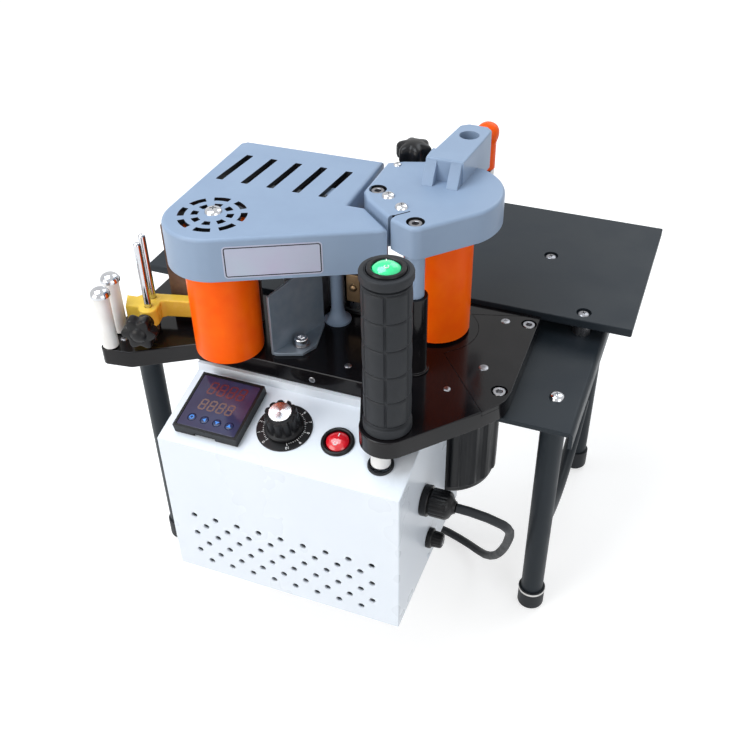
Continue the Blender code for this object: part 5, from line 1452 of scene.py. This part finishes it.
vents = []
for i in range(5):
    x = -168.9 + 19.0 * i
    ring = rounded(
        [(x - 4.9, 112.0, 0.5), (x + 0.3, 112.0, 0.5), (x + 3.9, 152.0, 0.5), (x - 1.3, 152.0, 0.5)],
        3
    )
    vents.append(slab("tool", ring, LEFT_COVER_TOP - 6, LEFT_COVER_TOP + 4))
for i in range(8):
    middle = 45.0 * i + 10
    vents.append(
        slab("tool", sector(18.2, 22.6, middle - 15, middle + 15), LEFT_COVER_TOP - 6, LEFT_COVER_TOP + 4)
    )
    vents.append(
        slab("tool", sector(9.5, 14.0, middle - 12, middle + 12), LEFT_COVER_TOP - 6, LEFT_COVER_TOP + 4)
    )
inside = slab("tool", offset(left_ring, -COVER_WALL), left_low - 2, LEFT_COVER_TOP - COVER_WALL)
worked(left_cover, [inside, merged("tool", vents)])
fit(left_cover, "cover_grey", "frame", ["left_cover"])
# painted shade in the left cover's hollow
dark_inside(left_cover, left_ring, LEFT_COVER_TOP)
cross_screw("vent_screw", (*LEFT_ROLLER, LEFT_COVER_TOP), 5.9, 2.6)
print("vents:", 5 + 16)

# %% Blank label
LABEL_START, LABEL_END = Vector((-136.8, 38.04)), Vector((-43.2, 84.2))
label_way = (LABEL_END - LABEL_START).normalized()
label_turn = math.atan2(label_way.y, label_way.x)
label_left = LABEL_START + label_way * 5.4
label_frame = Matrix.Translation(
    at(*label_left, 308.5)
) @ Matrix.Rotation(label_turn, 4, "Z") @ turn_by(90, "X")
LABEL_LONG, LABEL_TALL = 62.4, 23.0
label_ring = rounded([(0, 0, 2.5), (LABEL_LONG, 0, 2.5), (LABEL_LONG, LABEL_TALL, 2.5), (0, LABEL_TALL, 2.5)])
label = slab("blank_label", label_ring, 0.0, 0.22, matrix=label_frame)
fit(label, "label_white")
rim_outer = slab("label_border", offset(label_ring, -0.9), 0.1, 0.27, matrix=label_frame)
worked(rim_outer, [slab("tool", offset(label_ring, -1.6), -1, 2, matrix=label_frame)])
fit(rim_outer, "black_plastic")
print("label is", LABEL_LONG, "by", LABEL_TALL, "mm and blank")

# %% Right cover
RIGHT_COVER_TOP, RIGHT_SKIRT = 343.0, 22.0
ARM_LOW, ARM_TOP, ARM_HOLE, REAR_KNOB = 332.0, 359.0, (-18.5, 189.0), (-57.5, 187.6)
POST_FRONT, POST_REAR = (-23.0, 91.5), (-60.2, 124.1)
right_low = RIGHT_COVER_TOP - RIGHT_SKIRT
right_ring = [
    (-68.3, 163.5), (-68.3, 120.0), (-61.8, 109.8), (-38.4, 89.9), (-31.0, 86.0),
    *arc((-22.0, 91.0), 8.0, 250, 320, 12)
]
right_ring += [*arc((-21.5, 140.0), 41.0, -36, 64, 40), (-9.7, 177.0), (-41.0, 175.0), (-58.0, 169.4)]
right_cover = slab("right_cover_shell", right_ring, right_low, RIGHT_COVER_TOP, 2.6, 0.5, segments=5)
arm_ring = rounded(
    [
        (-35.7, 148.0, 0), (-10.0, 148.0, 0), (-6.0, 202.0, 4), (-10.0, 206.6, 3),
        (-24.0, 207.4, 4), (-29.4, 203.0, 4)
    ]
)
arm = slab("tool", arm_ring, ARM_LOW, ARM_TOP, 1.4)
ribs = []
for low, high in ((-35.7, -28.0), (-18.8, -11.0)):
    rib_ring = [
        (139.0, RIGHT_COVER_TOP - 1.5), (162.0, RIGHT_COVER_TOP - 1.5), (162.0, ARM_TOP - 0.1),
        (149.0, ARM_TOP - 0.1), (139.0, RIGHT_COVER_TOP + 0.3)
    ]
    ribs.append(slab("tool", rib_ring, low, high, 0.5, 0.5, SIDEWAYS))
lug = slab(
    "tool", rounded([(-64.5, 164.0, 0), (-50.5, 166.0, 0), (-50.5, 195.0, 6), (-64.5, 195.0, 6)]),
    right_low + 1, right_low + 8, 0.6, 0.6
)
worked(right_cover, [arm, *ribs, lug], "UNION")
turn = Matrix.Translation(at(-40.5, 91.6, 0)) @ turn_by(48, "Z")
cuts = [
    slab(
        "tool", [(0, -0.5), (15.0, -0.5), (15.0, 0.5), (0, 0.5)], RIGHT_COVER_TOP - 4,
        RIGHT_COVER_TOP + 4, matrix=turn
    )
]
notch = slab(
    "tool", [(-4, -2.6), (3.0, -1.5), (4.5, -0.4), (4.5, 0.4), (3.0, 1.2), (-4, 2.0)],
    right_low - 3, RIGHT_COVER_TOP + 5, matrix=turn
)
cuts.append(drum(ARM_HOLE, 6.9, ARM_LOW - 4, ARM_TOP + 4))
cuts.append(drum(REAR_KNOB, 3.3, right_low - 4, right_low + 12))
for place in (POST_FRONT, POST_REAR):
    cuts.append(drum(place, 5.9, RIGHT_COVER_TOP - 4.2, RIGHT_COVER_TOP + 4))
bay = drum(RIGHT_ROLLER, 30.0, right_low - 2, RIGHT_COVER_TOP - 6, sides=96)
worked(right_cover, [bay, merged("tool", cuts), notch])
fit(right_cover, "cover_grey", "frame", ["right_cover"])
# painted shade in the right cover's hollow
dark_inside(right_cover, right_ring, RIGHT_COVER_TOP)
for number, place in enumerate((POST_FRONT, POST_REAR)):
    cap_screw(f"cover_cap_screw_{number}", (*place, RIGHT_COVER_TOP - 4.2), 4.6, 3.3)
for number, (place, radius) in enumerate(
    (((-50.4, 117.3), 4.4), ((-37.4, 106.1), 4.4), ((-60.2, 161.3), 2.8))
):
    cross_screw(f"cover_dome_screw_{number}", (*place, RIGHT_COVER_TOP), radius, radius * 0.5)
print("right cover made")

# %% [markdown]
# ## Posts below the covers
# Two posts with a thick black foot carry the right cover, and a slim column with a flared base
# carries the left one. The bent guide plate stands beside them on its cap screw.

# %% Posts and column
post_low = PLATE_TOP + 0.3
post_tall = right_low - 0.3 - post_low
foot_shape = eased([(0, 60.0), (9.0, 60.0), (9.0, 1.2), (10.6, 1.2), (10.6, 0), (0, 0)], 0.5)
upper_shape = [
    (2.6, post_tall - 14), (2.6, post_tall), (6.2, post_tall), (6.5, post_tall - 0.3), (6.5, 60.1),
    (2.6, 60.1)
]
for side, place in (("front", POST_FRONT), ("rear", POST_REAR)):
    fit(
        turned(f"post_{side}_foot", foot_shape, at(*place, post_low), steps=72), "black_paint",
        "frame", [f"cover_post_{side}"]
    )
    fit(turned(f"post_{side}_upper", upper_shape, at(*place, post_low), steps=72), "cover_grey")
column_tall = LEFT_COVER_TOP - COVER_WALL - 0.3 - post_low
column = [
    (0, column_tall), (5.2, column_tall), (4.4, column_tall - 12), (4.4, 14.0), (4.7, 10.0),
    (5.6, 6.6), (7.4, 3.6), (10.0, 1.6), (10.0, 0), (0, 0)
]
fit(turned("column", column, at(-94.0, 127.0, post_low), steps=64), "cover_grey", "frame", ["cover_column"])
print("posts are", round(post_tall, 1), "mm tall")

# %% Guide plate and its screw
GUIDE_SCREW = (-105.0, 87.0)
guide_start, guide_end = Vector((-119.0, 74.8)), Vector((-101.2, 117.3))
guide_way = (guide_end - guide_start).normalized()
guide_side = Vector((guide_way.y, -guide_way.x))
upright = Matrix.Translation(at(*guide_start, post_low)) @ Matrix.Rotation(
    math.atan2(guide_way.y, guide_way.x), 4, "Z"
) @ turn_by(90, "X")
reach = (guide_end - guide_start).length
wall = slab(
    "bent_guide_plate", [(-3.6, 0), (reach, 0), (reach, 57.5), (-3.6, 48.0)], -1.1, 1.1, 0.3, 0.3,
    upright
)
tab_ring = [
    tuple(guide_start - guide_side * 0.6), tuple(guide_start - guide_way * 3.6), (-117.0, 71.0),
    (-100.0, 77.6), (-94.6, 88.9), (-100.2, 117.0), tuple(guide_end - guide_side * 0.6)
]
worked(wall, [slab("tool", tab_ring, post_low, post_low + 2.4, 0.4)], "UNION")
fit(wall, "sheet_zinc", "frame", ["tape_guide_plate"])
fit(
    turned(
        "guide_washer", eased([(0, 3.6), (6.0, 3.6), (6.0, 2.4), (0, 2.4)], 0.3),
        at(*GUIDE_SCREW, post_low)
    ),
    "steel"
)
pad = slab(
    "glue_roller_bearing", [(-88.0, 131.0), (-78.0, 131.0), (-78.0, 140.9), (-88.0, 140.9)], 245.0,
    268.0, 0.6, 0.6
)
fit(pad, "brass")
pad_screw = Matrix.Translation(at(-83.0, 131.0, 257.0)) @ turn_by(90, "X")
fit(
    turned(
        "bearing_screw", [(0, 1.4), (1.6, 1.3), (2.6, 0.8), (3.0, 0), (3.0, -0.5), (0, -0.5)],
        matrix=pad_screw
    ),
    "brass"
)
cap_screw("guide_cap_screw", (*GUIDE_SCREW, post_low + 3.6), 5.0, 4.8, "bright_steel")
print("guide plate made")

# %% [markdown]
# ## Tape guide
# The tape comes round two white rollers, passes a yellow block that slides on two chrome rods,
# and runs along an upright brown board. A star knob clamps the block at the tape's height.

# %% Board, rods and block
GUIDE_TURN = math.radians(14)
ROD_ONE, ROD_TWO, ROD_RADIUS = (-214.2, 66.9), (-217.3, 77.9), 2.6
GUIDE_LOW, GUIDE_TOP = 238.0, 252.0
rod_frame = Matrix.Translation(at(*ROD_ONE, 0)) @ Matrix.Rotation(GUIDE_TURN, 4, "Z")
board_frame = Matrix.Translation(at(-198.5, 93.0, 0)) @ Matrix.Rotation(GUIDE_TURN, 4, "Z")
board = slab(
    "laminate_board", [(-11.3, 0), (56.0, 0), (56.0, 3.0), (-11.3, 3.0)], post_low, 306.0, 0.3,
    matrix=board_frame
)
fit(board, "phenolic", "frame", ["tape_board"])
rod_tall = 304.0 - PLATE_LOW - 1.0
rod_shape = [(0, rod_tall)] + [
    (ROD_RADIUS * math.sin(a), rod_tall - 2.4 + 2.4 * math.cos(a))
    for a in (0.4, 0.8, 1.2, math.pi / 2)
] + [(ROD_RADIUS, 0), (0, 0)]
for side, place in (("front", ROD_ONE), ("rear", ROD_TWO)):
    fit(
        turned(f"rod_{side}", rod_shape, at(*place, PLATE_LOW + 1)), "bright_steel", "frame",
        [f"tape_rod_{side}"]
    )
block_ring = [
    (-20.0, 13.0), (-16.6, -1.0), *arc((0.0, -1.0), 7.0, 180, 262, 16)[1:],
    *arc((0.0, -1.0), 7.0, 278, 360, 16)[:-1]
]
block_ring += [(7.0, 6.0), (10.0, 8.0), (32.0, 8.0), (32.0, 17.0), (-7.0, 17.0), (-12.0, 12.0)]
block = slab("sliding_block", block_ring, GUIDE_LOW, GUIDE_TOP, 1.2, 1.2, rod_frame, 4)
bores = [drum(place, ROD_RADIUS + 0.3, GUIDE_LOW - 4, GUIDE_TOP + 4) for place in (ROD_ONE, ROD_TWO)]
GUIDE_MIDDLE = (GUIDE_LOW + GUIDE_TOP) / 2
facing = turn_by(90, "X")
stud_hole = turned(
    "tool", [(0, 8), (1.9, 8), (1.9, 0), (0, 0)],
    matrix=rod_frame @ Matrix.Translation((0, -5.4 * MM, GUIDE_MIDDLE * MM)) @ facing, steps=32
)
worked(block, [*bores, stud_hole])
fit(block, "yellow_plastic", "guide_block", ["tape_guide_block"])
print("block slides on two rods")

# %% Star knobs


def star(lobes, inner, dip):
    """A shape function for a lobed knob; rings inside the hub stay round."""

    def change(angle, radius, height):
        if radius <= inner:
            return radius
        return radius - dip * (radius / 13.0) * (1 - math.cos(lobes * angle)) / 2

    return change


CLAMP_PLACE = rod_frame @ Matrix.Translation((0, -9.0 * MM, GUIDE_MIDDLE * MM)) @ facing
clamp_shape = [
    (0, 20.0), (3.0, 19.8), (5.0, 18.9), (6.0, 17.5), (10.6, 17.4), (12.2, 16.8), (12.9, 15.6),
    (13.0, 14.0), (13.0, 11.0)
]
clamp_shape += [(12.9, 9.4), (12.2, 8.2), (10.6, 7.6), (6.2, 7.5), (6.2, 0.4), (5.8, 0), (0, 0)]
clamp = turned("clamp_star_knob", clamp_shape, matrix=CLAMP_PLACE, steps=144, shape=star(6, 7, 3.4))
fit(clamp, "black_plastic", "clamp_knob", ["guide_clamp_knob"])
fit(
    turned("clamp_stud", [(0, 0.2), (1.6, 0.2), (1.6, -3), (0, -3)], matrix=CLAMP_PLACE, steps=32),
    "steel", "clamp_knob"
)
rear_shape = [
    (0, 39.6), (3.0, 39.4), (6.0, 38.9), (9.0, 38.2), (11.4, 37.1), (12.6, 35.6), (13.0, 33.8),
    (13.0, 28.4)
]
rear_shape += [
    (12.4, 26.6), (11.0, 25.6), (7.0, 25.4), (7.0, 21.5), (6.6, 21.0), (3.0, 21.0), (3.0, 0.4),
    (2.6, 0), (0, 0)
]
rear_star = turned("cover_star_knob", rear_shape, at(*REAR_KNOB, 310.0), steps=144, shape=star(6, 7.2, 3.4))
fit(rear_star, "black_plastic", "rear_knob", ["rear_star_knob"])
print("star knobs: 2")

# %% White tape rollers
TAPE_TOP = 272.5
roller_low = PLATE_TOP + 1.0
white_shape = [
    (5.0, TAPE_TOP - roller_low), (5.45, TAPE_TOP - roller_low - 0.2),
    (5.6, TAPE_TOP - roller_low - 0.7), (5.6, 0.6), (5.2, 0)
]
white_shape += [(2.4, 0), (2.4, TAPE_TOP - roller_low)]
pin_low = PLATE_LOW + 2.0
seat = TAPE_TOP + 0.3 - pin_low
pin_shape = [(0, seat + 6.0)] + [
    (7.0 * math.sin(a), seat + 0.6 + 5.4 * math.cos(a)) for a in [0.09 * i for i in range(1, 18)]
]
pin_shape += [(7.0, seat), (2.1, seat), (2.1, 0), (0, 0)]
for side, place in (("front", (-232.8, 41.4)), ("rear", (-237.0, 60.0))):
    fit(
        turned(f"white_roller_{side}", white_shape, at(*place, roller_low), steps=96),
        "white_plastic", f"tape_roller_{side}", [f"tape_roller_{side}"]
    )
    fit(
        turned(f"roller_cap_{side}", pin_shape, at(*place, pin_low), steps=96), "bright_steel",
        "frame", [f"tape_roller_pin_{side}"]
    )
print("white rollers: 2")

# %% [markdown]
# ## Lever grip
# An orange grip stands on the steel link behind the right cover. It has a ball end with a waist.

# %% Lever grip
grip_outline = [
    (0, 34.4), (2.0, 34.25), (4.0, 33.6), (5.6, 32.6), (6.9, 31.2), (7.7, 29.4), (8.0, 27.4),
    (7.9, 25.4), (7.5, 23.4)
]
grip_outline += [(6.9, 21.8), (6.5, 20.0), (6.4, 17.6), (6.4, 0.5), (6.0, 0), (0, 0)]
fit(
    turned("orange_lever_grip", grip_outline, at(-14.0, 222.0, 320.9), steps=72), "orange_plastic",
    "lever", ["lever_grip"]
)
print("lever grip is 34 mm tall")

# %% [markdown]
# ## Tables
# Two flat leaves carry the board. They are plates with eased edges, and each screw sits in a
# round recess so that nothing catches the board.

# %% Tables and their screws
TABLE_TOP, TABLE_THICK, TABLE_REAR = 233.0, 6.5, 337.0
for side, (left, front, right), spots in (
    ("right", (-56.0, 182.0, 111.0), ((74.0, 192.6), (33.5, 263.5))),
    ("left", (-264.0, 142.0, -150.0), ((-245.0, 158.0), (-196.0, 158.0), (-215.0, 263.0))),
):
    ring = rounded(
        [(left, front, 1.2), (right, front, 1.2), (right, TABLE_REAR, 1.2), (left, TABLE_REAR, 1.2)],
        4
    )
    leaf = slab(f"{side}_table_leaf", ring, TABLE_TOP - TABLE_THICK, TABLE_TOP, 0.7, 0.5)
    recesses = [drum(spot, 5.6, TABLE_TOP - 2.6, TABLE_TOP + 3) for spot in spots]
    worked(leaf, [merged("tool", recesses)])
    fit(leaf, "slate_paint", "frame", [f"{side}_table"])
    for number, spot in enumerate(spots):
        cross_screw(f"{side}_table_screw_{number}", (*spot, TABLE_TOP - 2.6), 4.8, 2.3, "steel")
print("tables are", TABLE_THICK, "mm thick")

# %% [markdown]
# ## Stand
# A bracket under each side joins the plate, the tables and the legs. The right one has a rounded
# bend and a flange at its outer edge. Each side's two legs are tubes joined by a bowed stretcher,
# and rubber feet stand at their ends.

# %% Right bracket
BRACKET_LOW, BRACKET_TOP = 211.7, 215.7
bracket_ring = rounded(
    [(30.5, 77.0, 2), (89.0, 77.0, 0), (89.0, 300.0, 0), (20.0, 300.0, 2), (20.0, 188.0, 1), (30.5, 188.0, 1)]
)
bracket = slab("right_bracket_plate", bracket_ring, BRACKET_LOW, BRACKET_TOP, 0.3, 0.3)
bend = [
    *arc((88.5, BRACKET_TOP - 4.0), 4.0, 90, 0, 10), (92.5, BRACKET_TOP - 13.5),
    (89.9, BRACKET_TOP - 13.5), *arc((88.5, BRACKET_TOP - 4.0), 1.4, 0, 90, 6)
]
ALONG_Y = Matrix.Translation(at(0, 0, 0)) @ turn_by(90, "X")
flange = slab("tool", bend, -300.0, -77.0, 0.3, 0.3, ALONG_Y)
worked(bracket, [flange], "UNION")
fit(bracket, "slate_paint", "frame", ["right_bracket"])
for spot in ((74.0, 192.6), (33.5, 263.5)):
    standoff = turned(
        "table_standoff", eased([(0, 14.4), (6.5, 14.4), (6.5, 4.0), (0, 4.0)], 0.3),
        at(*spot, BRACKET_LOW)
    )
    fit(standoff, "steel")
LEGS = {
    "front_right": (74.0, 111.0), "rear_right": (74.0, 285.0), "front_left": (-231.0, 79.0),
    "rear_left": (-231.0, 285.0)
}
cross_screw("bracket_bolt_front", (*LEGS["front_right"], BRACKET_TOP), 5.4, 3.0, "bright_steel")
cross_screw("bracket_bolt_rear", (*LEGS["rear_right"], BRACKET_TOP), 5.4, 3.0, "steel")
print("bracket made")

# %% Legs


def tube_along(name, points, radius):
    """A round tube as a mesh."""
    curve = bpy.data.curves.new(name, "CURVE")
    curve.dimensions = "3D"
    curve.bevel_depth = radius * MM
    curve.bevel_resolution = 6
    curve.use_fill_caps = True
    line = curve.splines.new("POLY")
    line.points.add(len(points) - 1)
    for point, spot in zip(line.points, points):
        point.co = (*at(*spot), 1)
    maker = bpy.data.objects.new(name, curve)
    bpy.context.scene.collection.objects.link(maker)
    bpy.context.view_layer.update()
    mesh = bpy.data.meshes.new_from_object(maker.evaluated_get(bpy.context.evaluated_depsgraph_get()))
    bpy.data.objects.remove(maker, do_unlink=True)
    made = bpy.data.objects.new(name, mesh)
    bpy.context.scene.collection.objects.link(made)
    return made


LEG_RADIUS, LEG_TOP = 8.7, 211.4
for side in ("right", "left"):
    front, rear = LEGS[f"front_{side}"], LEGS[f"rear_{side}"]
    front_top = LEG_TOP if side == "right" else PLATE_LOW - 0.3
    tubes = []
    for spot, top in ((front, front_top), (rear, LEG_TOP)):
        tall = top - 3.0
        inner_radius = LEG_RADIUS - 1.5
        leg_shape = [
            (2.9, tall), (8.2, tall), (8.7, tall - 0.5), (8.7, 0), (inner_radius, 0),
            (inner_radius, tall - 4), (2.9, tall - 4)
        ]
        tubes.append(turned("leg", leg_shape, at(*spot, 3.0), steps=64))
    start, end = front[1] + LEG_RADIUS - 1, rear[1] - LEG_RADIUS + 1
    bow = [
        (front[0], start + (end - start) * i / 40, 84.0 - 24.0 * (1 - (i / 20 - 1) ** 2))
        for i in range(41)
    ]
    tubes.append(tube_along("stretcher", bow, 5.6))
    fit(worked(tubes[0], tubes[1:], "UNION"), "slate_paint", "frame", [f"leg_frame_{side}"])
    tubes[0].name = f"leg_pair_{side}"
print("legs: 4")

# %% Feet
foot_outline = [
    (8.95, 20.0), (9.9, 20.0), (10.4, 19.5), (10.4, 3.4), (10.1, 2.4), (8.4, 0.4), (7.8, 0.05),
    (0, 0.05), (0, 2.7), (8.9, 2.7)
]
for side, spot in LEGS.items():
    fit(
        turned(f"rubber_foot_{side}", foot_outline, at(*spot, 0), steps=72), "black_rubber",
        "frame", [f"foot_{side}"]
    )
band = turned(
    "leg_band", eased([(10.35, 0), (10.75, 0), (10.75, 1.7), (10.35, 1.7)], 0.15),
    at(*LEGS["front_right"], 17.4), steps=64
)
fit(band, "white_plastic")
print("feet: 4")

# %% [markdown]
# ## Leftover nodes
# Every frame node should be stood for by now. A node that isn't gets its own finish, so nothing
# stays bare.

# %% Leftover nodes
looks_of = {part["node"]: part["material_slot"] for part in frame["record"]["subparts"]}
bare = [name for name, node in NODES.items() if not node.hide_render and name in bpy.data.objects]
print("nodes shown as they are:", bare)
for name in bare:
    NODES[name].data.materials.clear()
    NODES[name].data.materials.append(FINISHES[looks_of[name]])
